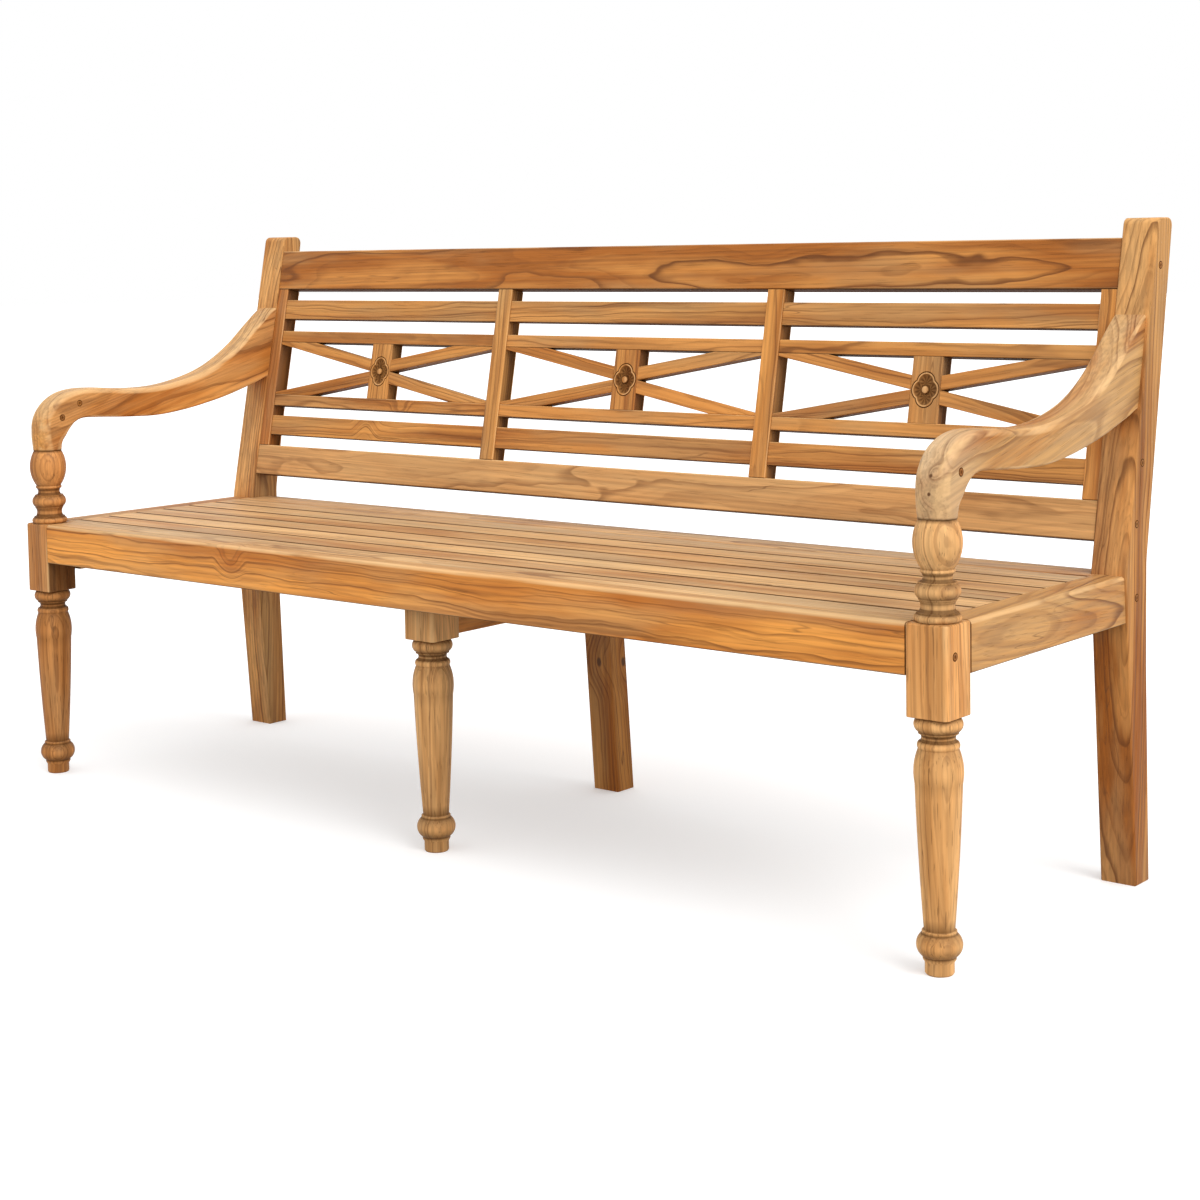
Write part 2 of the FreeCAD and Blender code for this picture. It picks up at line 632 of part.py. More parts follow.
post_plugs = [(post_seat_front + post_seat_depth / 2.0, rail_bottom + rail_height / 2.0)]
for rise in ((bottom_rail_low + bottom_rail_top) / 2.0, lower_slat_start + back_slat_height,
             (top_rail_start + top_rail_end) / 2.0):
    plug_y = back_front + rise * math.sin(rake) + back_thickness / 2.0
    post_plugs.append((plug_y, seat_height + rise * math.cos(rake)))
plugs = []
for plug_y, plug_z in post_plugs:
    rear_post = rear_post.cut(plug(post_outer, plug_y, plug_z, -1, plug_radius + joint_gap, plug_depth))
    plugs.append(plug(post_outer, plug_y, plug_z, -1, plug_radius, plug_depth))
leg_plug_y = block_size / 3.0
leg_plug_z = rail_bottom + rail_height * tenon_share
corner_leg = corner_leg.cut(plug(half_length, leg_plug_y, leg_plug_z, -1, plug_radius + joint_gap, plug_depth))
plugs.append(plug(half_length, leg_plug_y, leg_plug_z, -1, plug_radius, plug_depth))
arm_plug_y = leg_axis_y + arm_width / 3.0
arm_plug_z = arm_foot_height + arm_tenon_length
arm_plugs = [
    (-1, arm_plug_y, arm_plug_z),
    (1, arm_plug_y, arm_plug_z),
    (-1, arm_plug_y + inner_plug_back, arm_plug_z + inner_plug_rise),
]
whole_arm = arm
for direction, plug_y, plug_z in arm_plugs:
    plug_bottom = leg_axis_x + direction * (arm_width / 2.0 - plug_depth)
    arm_plug = plug(plug_bottom, plug_y, plug_z, direction, plug_radius, 2.0 * plug_depth)
    plugs.append(whole_arm.common(arm_plug).Solids[0])
    arm = arm.cut(plug(plug_bottom, plug_y, plug_z, direction, plug_radius + joint_gap, 2.0 * plug_depth))
plugs += [mirrored(shape) for shape in plugs]
parts["joint_plugs"] = Part.makeCompound(plugs)

parts["front_leg_right"] = corner_leg.Solids[0]
parts["front_leg_left"] = mirrored(corner_leg.Solids[0])
parts["rear_post_right"] = rear_post.Solids[0]
parts["rear_post_left"] = mirrored(rear_post.Solids[0])
parts["arm_right"] = arm.Solids[0]
parts["arm_left"] = mirrored(arm.Solids[0])

# Move the origin to the bottom centre and write one file for each piece
bounds = Part.makeCompound(list(parts.values())).optimalBoundingBox()
shift = vector(0, -(bounds.YMin + bounds.YMax) / 2.0, 0)
os.makedirs("parts", exist_ok=True)
for name, shape in parts.items():
    shape.translate(shift)
    shape.exportStep("parts/%s.step" % name)
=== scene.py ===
import math
import random

import bmesh
import bpy
from mathutils import Matrix, Vector


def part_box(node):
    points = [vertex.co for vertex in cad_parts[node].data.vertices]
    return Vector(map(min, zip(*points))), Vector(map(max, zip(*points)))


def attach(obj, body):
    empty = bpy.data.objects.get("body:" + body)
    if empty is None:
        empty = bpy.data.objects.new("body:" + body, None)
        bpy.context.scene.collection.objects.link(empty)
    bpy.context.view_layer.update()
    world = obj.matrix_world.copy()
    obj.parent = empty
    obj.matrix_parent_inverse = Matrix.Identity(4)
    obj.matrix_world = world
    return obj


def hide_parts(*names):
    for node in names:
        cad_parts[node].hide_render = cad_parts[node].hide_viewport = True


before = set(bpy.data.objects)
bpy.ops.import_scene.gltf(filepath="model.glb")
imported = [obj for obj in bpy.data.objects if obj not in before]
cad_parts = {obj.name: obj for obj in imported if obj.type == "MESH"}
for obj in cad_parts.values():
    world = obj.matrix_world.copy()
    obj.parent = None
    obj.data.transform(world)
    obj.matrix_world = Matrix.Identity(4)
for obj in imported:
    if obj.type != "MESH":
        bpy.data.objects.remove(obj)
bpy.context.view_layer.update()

# Front legs: each turned on the lathe from one square of teak, left square where the rails meet. The two
# corner legs run on above the seat as balusters that carry the arms. The middle leg stops under the seat,
# behind the front rail.
MM = 0.001
front_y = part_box("front_rail")[0].y
seat_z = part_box("seat_slat_1")[1].z
slat_under_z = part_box("seat_slat_1")[0].z
corner_leg_low, corner_leg_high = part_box("front_leg_right")
corner_leg_x = (corner_leg_low.x + corner_leg_high.x) / 2
corner_leg_y = (corner_leg_low.y + corner_leg_high.y) / 2
middle_leg_low, middle_leg_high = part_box("front_leg_middle")
middle_leg_y = (middle_leg_low.y + middle_leg_high.y) / 2
arm_foot_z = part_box("arm_right")[0].z
block_half = 29 * MM
block_corner = 7 * MM
block_joint_corner = 4 * MM
block_top_ease = 3 * MM
block_under_ease = 1.2 * MM
block_bottom_z = 316 * MM
turning_sink = 2 * MM
lathe_sides = 72
curve_steps = 12
arris_turn = (14.0, 40.0)
groove_reach = 4 * MM
# The grooves of the turnings are painted darker, as shade, up to this share.
groove_shade = 0.75
end_ease = 1.0 * MM
joint_grime = 0.85
leg_turning = [
    (16.5, 0.0), (18.0, 2.0), (18.0, 14.0), (20.5, 18.0), (20.5, 21.0),
    (28.4, 35.0, 21.5, 48.0), (21.5, 51.0), (19.0, 52.5),
    (25.6, 150.0, 29.0, 222.0), (29.8, 245.0, 24.8, 263.0),
    (26.0, 267.0, 24.3, 271.0), (22.5, 271.5), (20.8, 275.5, 22.5, 280.0), (24.6, 280.5), (24.6, 282.5),
    (30.0, 291.0, 24.6, 300.0), (24.6, 302.0),
]
baluster_turning = [
    (25.5, 0.0), (29.2, 5.0, 25.5, 10.0), (25.5, 11.5), (22.8, 12.0), (20.8, 19.0, 22.8, 25.5),
    (23.6, 26.0), (23.6, 27.5), (28.0, 36.5, 23.8, 45.0), (23.8, 46.5), (20.5, 47.0),
    (17.9, 52.5, 20.2, 57.5), (21.5, 59.7, 20.2, 62.0), (30.2, 91.0, 22.5, 120.0),
]
figure = random.Random(11)


def arc_points(start, via, end, steps):
    """Points after the start on the arc through three points of a plane."""
    (ax, ay), (bx, by), (cx, cy) = start, via, end
    d = 2 * (ax * (by - cy) + bx * (cy - ay) + cx * (ay - by))
    a2 = ax * ax + ay * ay
    b2 = bx * bx + by * by
    c2 = cx * cx + cy * cy
    ox = (a2 * (by - cy) + b2 * (cy - ay) + c2 * (ay - by)) / d
    oy = (a2 * (cx - bx) + b2 * (ax - cx) + c2 * (bx - ax)) / d
    radius = math.hypot(ax - ox, ay - oy)
    first = math.atan2(ay - oy, ax - ox)
    sweep = (math.atan2(cy - oy, cx - ox) - first) % (2 * math.pi)
    middle = (math.atan2(by - oy, bx - ox) - first) % (2 * math.pi)
    if middle > sweep:
        sweep -= 2 * math.pi
    points = []
    for step in range(1, steps + 1):
        angle = first + sweep * step / steps
        points.append((ox + radius * math.cos(angle), oy + radius * math.sin(angle)))
    return points


def lathe_outline(turning, base_z, height):
    """Radius and height of each ring of a turning, from its list of cuts and curves."""
    scale = height / turning[-1][-1]
    outline = []
    for step in turning:
        end = (step[-2] * MM, base_z + step[-1] * scale)
        if len(step) == 2:
            outline.append(end)
        else:
            outline += arc_points(outline[-1], (step[0] * MM, base_z + step[1] * scale), end, curve_steps)
    return outline


def bridged(loops, dirt):
    """A closed shell through loops that have the same number of points, with the dirt and painted shade of
    each loop. Where the loops turn a rounded corner it is marked for wear and a painted highlight."""
    count = len(loops[0])
    wear = []
    for loop in loops:
        for index in range(count):
            here = Vector(loop[index])
            into = here - Vector(loop[index - 1])
            out = Vector(loop[(index + 1) % count]) - here
            turn = math.degrees(into.angle(out, 0.0))
            wear.append(1.0 if arris_turn[0] < turn < arris_turn[1] else 0.0)
    faces = [list(range(count))[::-1]]
    for row in range(len(loops) - 1):
        low = row * count
        for index in range(count):
            after = (index + 1) % count
            faces.append([low + index, low + after, low + count + after, low + count + index])
    faces.append([(len(loops) - 1) * count + index for index in range(count)])
    return {
        "points": [Vector(point) for loop in loops for point in loop],
        "faces": faces,
        "dirt": [amount for loop, amount in zip(loops, dirt) for point in loop],
        "wear": wear,
    }


def circle(radius, z, sides):
    """A level circle of points about the upright axis through the origin."""
    angles = [2 * math.pi * side / sides for side in range(sides)]
    return [(radius * math.cos(angle), radius * math.sin(angle), z) for angle in angles]


def turned(outline):
    """A shell turned about the upright axis through the origin, with painted shade in its grooves and dirt at
    its top.
    """
    loops = []
    dirt = []
    for radius, z in outline:
        loops.append(circle(radius, z, lathe_sides))
        nearby = [ring for ring, height in outline if abs(height - z) < groove_reach]
        dirt.append(min(groove_shade, max(0.0, (max(nearby) - radius) / groove_reach)))
    dirt[-1] = joint_grime
    return bridged(loops, dirt)


def rounded(corners, steps=4):
    """Points of an outline given by corners (a, b, radius), each corner rounded by an arc."""
    points = []
    count = len(corners)
    for index, (a, b, radius) in enumerate(corners):
        if radius == 0:
            points.append((a, b))
            continue
        here = Vector((a, b))
        back = (Vector(corners[index - 1][:2]) - here).normalized()
        on = (Vector(corners[(index + 1) % count][:2]) - here).normalized()
        half = back.angle(on) / 2
        cut = radius / math.tan(half)
        middle = here + (back + on).normalized() * (radius / math.sin(half) - radius)
        start = here + back * cut
        end = here + on * cut
        points.append((start.x, start.y))
        points += arc_points(tuple(start), tuple(middle), tuple(end), steps)
    return points


def rectangle(a0, a1, b0, b1, radius):
    return [(a0, b0, radius), (a1, b0, radius), (a1, b1, radius), (a0, b1, radius)]


def inset(outline, distance):
    """The outline drawn in by a distance, corner by corner."""
    count = len(outline)
    area = 0
    for index in range(count):
        after = outline[(index + 1) % count]
        area += outline[index][0] * after[1] - after[0] * outline[index][1]
    side = 1 if area > 0 else -1
    drawn = []
    for index in range(count):
        here = Vector(outline[index])
        before = (here - Vector(outline[index - 1])).normalized()
        after = (Vector(outline[(index + 1) % count]) - here).normalized()
        inward = Vector((-before.y, before.x)) + Vector((-after.y, after.x))
        share = max(0.3, inward.length_squared / 2)
        drawn.append(tuple(here + inward * (side * distance / share)))
    return drawn


def prism(outline, low, high, place, ease_low, ease_high, grime=0.3):
    """A shell drawn out from low to high with eased rims, which hold dirt. place(a, b, t) sets a point."""
    rim = [(0.0, grime), (0.35, 0.7 * grime), (0.7, 0.25 * grime), (1.0, 0.0)]
    loops = []
    dirt = []
    for end, inward, ease, order in ((low, 1, ease_low, rim), (high, -1, ease_high, rim[::-1])):
        for turn, amount in order:
            draw_in = ease * (1 - math.sin(turn * math.pi / 2))
            t = end + inward * ease * (1 - math.cos(turn * math.pi / 2))
            loops.append([place(a, b, t) for a, b in inset(outline, draw_in)])
            dirt.append(amount)
    return bridged(loops, dirt)


def jointed(outline, low, high, place):
    """A shell drawn out between two joints, with dirt at both its ends."""
    return prism(outline, low, high, place, end_ease, end_ease, joint_grime)


def timber(shell, along, tone, pith=None, slant=None, marks=()):
    """A shell cut from one board: the grain runs along the given direction, at a distance from the pith of
    the tree and with a slant to it that make its figure. Tone is how dark, how red and how grey the board
    is. Marks are places in space that come back as places in the grain, for knots."""
    along = Vector(along).normalized()
    helper = Vector((0, 0, 1)) if abs(along.z) < 0.6 else Vector((0, 1, 0))
    depth = along.cross(helper).normalized()
    across = depth.cross(along)
    points = shell["points"]
    middle = sum(points, Vector()) / len(points)
    start = figure.uniform(0, 40)
    drawn_across = figure.choice((-1, 1)) * figure.uniform(0.0, 0.1)
    drawn_depth = figure.choice((-1, 1)) * figure.uniform(0.015, 0.06)
    drawn_pith = (drawn_across, drawn_depth)
    drawn_slant = (figure.uniform(-0.02, 0.02), figure.uniform(-0.02, 0.02))
    pith = pith or drawn_pith
    slant = slant or drawn_slant
    grain = []
    for point in points + [Vector(mark) for mark in marks]:
        offset = point - middle
        run = offset.dot(along)
        grain.append((start + run, offset.dot(across) + pith[0] + slant[0] * run,
                      offset.dot(depth) + pith[1] + slant[1] * run))
    count = len(points)
    return {**shell, "grain": grain[:count], "tone": [tone] * count, "marks": grain[count:]}


def toned(board, change):
    """The board with its tone changed by change(point), where sun or shelter has done so."""
    tone = []
    for point, old in zip(board["points"], board["tone"]):
        tone.append(tuple(Vector(old) + Vector(change(point))))
    return {**board, "tone": tone}


def eased(value, low, high):
    """A smooth step from 0 at low to 1 at high."""
    share = max(0.0, min(1.0, (value - low) / (high - low)))
    return share * share * (3 - 2 * share)


def soiled_and_shaded(shell, share):
    """The shell darkened where share(point) asks for it, from none at 0 to black at 1: dirt at joints,
    painted shade in gaps, hollows and shaded sides.
    """
    dirt = [max(amount, share(point)) for amount, point in zip(shell["dirt"], shell["points"])]
    return {**shell, "dirt": dirt}


def moved(shell, matrix):
    return {**shell, "points": [matrix @ point for point in shell["points"]]}


def mesh_of(name, boards, sharp_degrees=38):
    """One mesh from boards, which keep their grain, tone, dirt and painted shade, wear and painted highlight
    as attributes of its points.
    """
    points = []
    faces = []
    for board in boards:
        first = len(points)
        points += board["points"]
        faces += [[first + index for index in face] for face in board["faces"]]
    mesh = bpy.data.meshes.new(name)
    mesh.from_pydata(points, [], faces)
    work = bmesh.new()
    work.from_mesh(mesh)
    bmesh.ops.recalc_face_normals(work, faces=work.faces)
    work.to_mesh(mesh)
    work.free()
    for label, key in (("grain", "grain"), ("board_tone", "tone")):
        attribute = mesh.attributes.new(label, "FLOAT_VECTOR", "POINT")
        numbers = [number for board in boards for value in board[key] for number in value]
        attribute.data.foreach_set("vector", numbers)
    for label in ("dirt", "wear"):
        attribute = mesh.attributes.new(label, "FLOAT", "POINT")
        attribute.data.foreach_set("value", [amount for board in boards for amount in board[label]])
    mesh.polygons.foreach_set("use_smooth", [True] * len(mesh.polygons))
    mesh.set_sharp_from_angle(angle=math.radians(sharp_degrees))
    return mesh


def placed(name, data):
    """An object of the scene that shows the data."""
    made = bpy.data.objects.new(name, data)
    bpy.context.scene.collection.objects.link(made)
    return made


def settled(made, nodes):
    """Turns what the modifiers make into the plain mesh of a finished piece that stands for its nodes."""
    even = made.modifiers.new("even_normals", "WEIGHTED_NORMAL")
    even.keep_sharp = True
    bpy.context.view_layer.update()
    ready = made.evaluated_get(bpy.context.evaluated_depsgraph_get())
    mesh = bpy.data.meshes.new_from_object(ready)
    made.modifiers.clear()
    made.data = mesh
    mesh.name = made.name
    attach(made, "root")
    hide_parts(*nodes)


def piece(name, boards, material, nodes):
    mesh = mesh_of(name, boards)
    mesh.materials.append(material)
    settled(placed(name, mesh), nodes)


def add(tree, kind, inputs=None, **settings):
    """A node of a tree with its settings made and its inputs set or linked."""
    made = tree.nodes.new(kind)
    for key, value in settings.items():
        setattr(made, key, value)
    for key, value in (inputs or {}).items():
        if isinstance(value, bpy.types.NodeSocket):
            tree.links.new(value, made.inputs[key])
        else:
            made.inputs[key].default_value = value
    return made


def teak_wood():
    """Sawn teak: yearly rings about the pith, bands of heartwood, dark streaks, fibres, open pores, cracks,
    knots, grey weathering, rubbed arrises with a painted highlight, and dirt with painted shade, all laid
    along the grain of each board."""
    tree = bpy.data.node_groups.new("teak_wood", "ShaderNodeTree")
    sockets = [
        ("Pale", "NodeSocketColor", (0.68, 0.315, 0.082, 1)),
        ("Heart", "NodeSocketColor", (0.385, 0.132, 0.022, 1)),
        ("Line", "NodeSocketColor", (0.14, 0.042, 0.009, 1)),
        ("Grey", "NodeSocketColor", (0.45, 0.28, 0.125, 1)),
        ("Soil", "NodeSocketColor", (0.055, 0.019, 0.005, 1)),
        ("Worn", "NodeSocketColor", (0.80, 0.50, 0.23, 1)),
        ("Heart Share", "NodeSocketFloat", 0.45),
        ("Ring Spacing", "NodeSocketFloat", 0.0065),
        ("Ring Strength", "NodeSocketFloat", 0.8),
        ("Streaks", "NodeSocketFloat", 0.45),
        ("Pores", "NodeSocketFloat", 0.16),
        ("Cracks", "NodeSocketFloat", 0.5),
        ("Weathering", "NodeSocketFloat", 0.4),
        ("Knots", "NodeSocketFloat", 0.03),
        ("Wander", "NodeSocketFloat", 0.05),
        ("Bleach", "NodeSocketFloat", 0.15),
        ("First Knot", "NodeSocketVector", (99, 99, 99)),
        ("Second Knot", "NodeSocketVector", (99, 99, 99)),
        ("Knot Size", "NodeSocketFloat", 0.005),
    ]
    for label, kind, value in sockets:
        tree.interface.new_socket(label, in_out="INPUT", socket_type=kind).default_value = value
    for label, kind in (("Color", "Color"), ("Roughness", "Float"), ("Shine", "Float"), ("Height", "Float")):
        tree.interface.new_socket(label, in_out="OUTPUT", socket_type="NodeSocket" + kind)
    given = add(tree, "NodeGroupInput").outputs

    def read(label):
        return add(tree, "ShaderNodeAttribute", attribute_name=label).outputs

    def maths(operation, a, b=0.0, c=0.0):
        return add(tree, "ShaderNodeMath", {0: a, 1: b, 2: c}, operation=operation).outputs[0]

    def vectors(operation, a, b):
        return add(tree, "ShaderNodeVectorMath", {0: a, 1: b}, operation=operation).outputs[0]

    def noise(vector, detail):
        return add(tree, "ShaderNodeTexNoise", {"Vector": vector, "Scale": 1.0, "Detail": detail}).outputs

    def stretched(stretch, detail):
        return noise(vectors("MULTIPLY", place, stretch), detail)[0]

    def ramp(value, low, high):
        limits = {"Value": value, "From Min": low, "From Max": high}
        return add(tree, "ShaderNodeMapRange", limits, interpolation_type="SMOOTHSTEP").outputs[0]

    def blended(share, a, b, way="MIX"):
        return add(tree, "ShaderNodeMix", {0: share, 6: a, 7: b}, data_type="RGBA", blend_type=way).outputs[2]

    def wander(stretch, reach):
        drift = noise(vectors("MULTIPLY", place, stretch), 2.0)[1]
        drift = vectors("MULTIPLY", vectors("SUBTRACT", drift, (0.5, 0.5, 0.5)), (0, 1, 1))
        return add(tree, "ShaderNodeVectorMath", {0: drift, "Scale": reach}, operation="SCALE").outputs[0]

    place = vectors("ADD", read("grain")["Vector"], read("board_shift")["Vector"])
    tone = vectors("ADD", read("board_tone")["Vector"], read("row_tone")["Vector"])
    dark, red, grey = add(tree, "ShaderNodeSeparateXYZ", {0: tone}).outputs
    soil_and_shade = read("dirt")["Fac"]

    # Knots: a few small branches that push the rings aside
    cells = add(tree, "ShaderNodeTexVoronoi", {"Vector": place, "Scale": 9.0}).outputs
    draw = add(tree, "ShaderNodeSeparateColor", {0: cells["Color"]}).outputs[0]
    chosen = maths("LESS_THAN", draw, given["Knots"])
    push = maths("MULTIPLY", chosen, maths("SUBTRACT", 1.0, ramp(cells["Distance"], 0.0, 0.4)))
    core = maths("MULTIPLY", chosen, maths("SUBTRACT", 1.0, ramp(cells["Distance"], 0.03, 0.08)))
    for label in ("First Knot", "Second Knot"):
        gap = vectors("MULTIPLY", vectors("SUBTRACT", place, given[label]), (0.6, 1, 1))
        gap = add(tree, "ShaderNodeVectorMath", {0: gap}, operation="LENGTH").outputs["Value"]
        gap = maths("DIVIDE", gap, given["Knot Size"])
        push = maths("MAXIMUM", push, maths("SUBTRACT", 1.0, ramp(gap, 0.0, 7.0)))
        core = maths("MAXIMUM", core, maths("SUBTRACT", 1.0, ramp(gap, 0.5, 1.0)))

    # Rings: distance from the wandering pith, dark at the end of each year
    drift = vectors("ADD", wander((1.8, 8, 8), given["Wander"]), wander((9, 26, 26), 0.008))
    bent = vectors("ADD", place, drift)
    run = add(tree, "ShaderNodeSeparateXYZ", {0: bent}).outputs[0]
    square = vectors("MULTIPLY", bent, (0, 1, 1))
    distance = add(tree, "ShaderNodeVectorMath", {0: square}, operation="LENGTH").outputs["Value"]
    distance = maths("MULTIPLY_ADD", push, 0.02, distance)
    years = maths("DIVIDE", distance, given["Ring Spacing"])
    year = maths("FLOOR", years)
    season = maths("FRACT", years)
    chance = add(tree, "ShaderNodeTexWhiteNoise", {"W": year}, noise_dimensions="1D").outputs["Value"]
    late = maths("POWER", ramp(season, 0.4, 0.92), 2.2)
    late = maths("MULTIPLY", late, maths("SUBTRACT", 1.0, ramp(season, 0.92, 1.0)))
    rings = maths("MULTIPLY", late, maths("MULTIPLY_ADD", maths("POWER", chance, 2.2), 0.85, 0.15))

    # Bands and streaks: wide and narrow dark stripes that keep to the rings
    band_place = add(tree, "ShaderNodeCombineXYZ",
                     {0: maths("MULTIPLY", run, 0.6), 1: maths("MULTIPLY", distance, 45.0)})
    bands = maths("SUBTRACT", ramp(noise(band_place.outputs[0], 2.0)[0], 0.3, 0.7), 0.5)
    streak_place = add(tree, "ShaderNodeCombineXYZ",
                       {0: maths("MULTIPLY", run, 1.6), 1: maths("MULTIPLY", distance, 200.0), 2: 5.0})
    streaks = ramp(noise(streak_place.outputs[0], 2.0)[0], 0.56, 0.67)

    # Stripes, fibres, pores, cracks and patches
    stripes = maths("SUBTRACT", ramp(stretched((0.8, 60, 60), 3.0), 0.32, 0.68), 0.5)
    fibres = maths("SUBTRACT", ramp(stretched((0.9, 220, 220), 1.0), 0.3, 0.7), 0.5)
    pores = ramp(stretched((20, 480, 480), 1.0), 0.62, 0.7)
    patches = maths("SUBTRACT", ramp(stretched((3.6, 22, 22), 3.0), 0.34, 0.66), 0.5)
    bleached = ramp(stretched((3.0, 15, 16), 3.0), 0.46, 0.66)
    split = maths("ABSOLUTE", maths("SUBTRACT", stretched((2.2, 38, 38), 2.0), 0.5))
    cracks = maths("SUBTRACT", 1.0, ramp(split, 0.0, 0.009))
    cracks = maths("MULTIPLY", cracks, ramp(stretched((5, 16, 17), 1.0), 0.58, 0.66))
    cracks = maths("MULTIPLY", cracks, given["Cracks"])

    share = maths("MULTIPLY_ADD", bands, 0.8, given["Heart Share"])
    share = maths("MULTIPLY_ADD", stripes, 0.4, share)
    share = maths("ADD", maths("MULTIPLY_ADD", patches, 0.6, share), dark)
    share = maths("MINIMUM", maths("MAXIMUM", share, 0.0), 1.0)
    colour = blended(share, given["Pale"], given["Heart"])
    colour = blended(red, colour, (1.0, 0.79, 0.56, 1), "MULTIPLY")
    normal = add(tree, "ShaderNodeNewGeometry").outputs["Normal"]
    upward = add(tree, "ShaderNodeSeparateXYZ", {0: normal}).outputs[2]
    bleach = maths("MULTIPLY_ADD", ramp(upward, 0.1, 0.8), given["Bleach"], grey)
    colour = blended(maths("MULTIPLY_ADD", bleached, given["Weathering"], bleach), colour, given["Grey"])
    colour = blended(maths("MULTIPLY", rings, given["Ring Strength"]), colour, given["Line"])
    colour = blended(maths("MULTIPLY", streaks, given["Streaks"]), colour, given["Line"])
    shade = maths("MULTIPLY_ADD", fibres, 0.26, 1.0)
    shade = maths("SUBTRACT", shade, maths("MULTIPLY", pores, given["Pores"]))
    colour = add(tree, "ShaderNodeVectorMath", {0: colour, "Scale": shade}, operation="SCALE").outputs[0]
    # Rubbed arrises are paler: wear, with a painted highlight on the rounded edges.
    rubbed_highlight = maths("MULTIPLY", read("wear")["Fac"], ramp(stretched((7, 60, 60), 2.0), 0.35, 0.6))
    colour = blended(maths("MULTIPLY", rubbed_highlight, 0.5), colour, given["Worn"])
    colour = blended(maths("MAXIMUM", core, cracks), colour, (0.13, 0.055, 0.02, 1))
    # Dirt at the joints and painted shade in hollows, gaps, grooves and shaded sides darken towards one
    # colour.
    colour = blended(soil_and_shade, colour, given["Soil"])

    roughness = maths("MULTIPLY_ADD", fibres, 0.14, 0.54)
    roughness = maths("MULTIPLY_ADD", pores, 0.12, roughness)
    roughness = maths("MULTIPLY_ADD", rubbed_highlight, -0.12, roughness)
    height = maths("MULTIPLY_ADD", rings, -0.45, maths("MULTIPLY", fibres, 0.4))
    height = maths("MULTIPLY_ADD", pores, -0.8, height)
    height = maths("SUBTRACT", height, maths("MAXIMUM", core, cracks))
    shine = maths("MULTIPLY_ADD", soil_and_shade, -0.18, 0.18)
    add(tree, "NodeGroupOutput", {"Color": colour, "Roughness": roughness, "Shine": shine, "Height": height})
    return tree


def teak(name, **looks):
    """A finish of sanded teak without oil. Looks are inputs of the wood, written with underscores."""
    material = bpy.data.materials.new(name)
    material.use_nodes = True
    tree = material.node_tree
    tree.nodes.clear()
    inputs = {key.replace("_", " ").title(): value for key, value in looks.items()}
    grown = add(tree, "ShaderNodeGroup", inputs, node_tree=wood).outputs
    relief = add(tree, "ShaderNodeBump", {"Strength": 0.4, "Distance": 0.0006, "Height": grown["Height"]})
    surface = add(tree, "ShaderNodeBsdfPrincipled", {
        "Base Color": grown["Color"],
        "Roughness": grown["Roughness"],
        "Specular IOR Level": grown["Shine"],
        "Normal": relief.outputs[0],
    })
    add(tree, "ShaderNodeOutputMaterial", {"Surface": surface.outputs[0]})
    return material


def upright(a, b, t):
    return (a, b, t)


wood = teak_wood()
turned_teak = teak("turned_teak", pale=(0.83, 0.455, 0.175, 1), heart=(0.51, 0.21, 0.05, 1),
                   ring_spacing=0.007, ring_strength=0.38, streaks=0.3, pores=0.35, weathering=0.3,
                   heart_share=0.3)
# A darker copy of the turned teak for the left leg: painted shade.
brown_teak = teak("brown_teak", pale=(0.58, 0.26, 0.08, 1), heart=(0.36, 0.135, 0.03, 1),
                  ring_spacing=0.007, ring_strength=0.6, streaks=0.4, pores=0.35, weathering=0.3,
                  heart_share=0.35)
block_corners = rectangle(-block_half, block_half, -block_half, block_half, block_joint_corner)
block_corners[1] = (block_half, -block_half, block_corner)
block_outline = rounded(block_corners)
lower_turning = turned(lathe_outline(leg_turning, 0.0, block_bottom_z + turning_sink))
baluster_sink = 0.5 * MM
baluster_height = arm_foot_z - seat_z + baluster_sink
baluster = turned(lathe_outline(baluster_turning, seat_z - baluster_sink, baluster_height))
other_end = Matrix.Scale(-1, 4, (1, 0, 0))
right_block = prism(block_outline, block_bottom_z, seat_z, upright, block_under_ease, block_top_ease)
# The inner side of each corner block, under the front rail, is painted dark as shade.
inner_face_shade = 0.55
inner_face_x = 0.5 * MM - block_half
right_block = soiled_and_shaded(right_block, lambda point: inner_face_shade * (point.x < inner_face_x))
left_block = moved(right_block, other_end)
middle_block = prism(block_outline, block_bottom_z, slat_under_z, upright, block_under_ease, block_under_ease)
legs = [
    # The left leg and its block also have darker tones, as painted shade.
    ("turned_leg_left", "front_leg_left", -corner_leg_x, corner_leg_y,
     brown_teak, (0.1, 0.2, 0.0), (0.1, 0.3, 0.0)),
    ("turned_leg_middle", "front_leg_middle", 0.0, middle_leg_y,
     turned_teak, (0.0, 0.0, 0.15), (0.1, 0.1, 0.1)),
    ("turned_leg_right", "front_leg_right", corner_leg_x, corner_leg_y,
     turned_teak, (-0.2, 0.05, 0.0), (0.1, 0.4, 0.0)),
]
for name, node, x, y, material, tone, block_tone in legs:
    stand = Matrix.Translation((x, y, 0))
    pith = (figure.uniform(0.02, 0.04), figure.uniform(0.03, 0.06))
    shells = (lower_turning, middle_block)
    if x:
        shells = (lower_turning, left_block if x < 0 else right_block, baluster)
    grown = []
    for shell in shells:
        shell_tone = block_tone if shell is shells[1] else tone
        grown.append(timber(moved(shell, stand), (0, 0, 1), shell_tone, pith))
    piece(name, grown, material, [node])


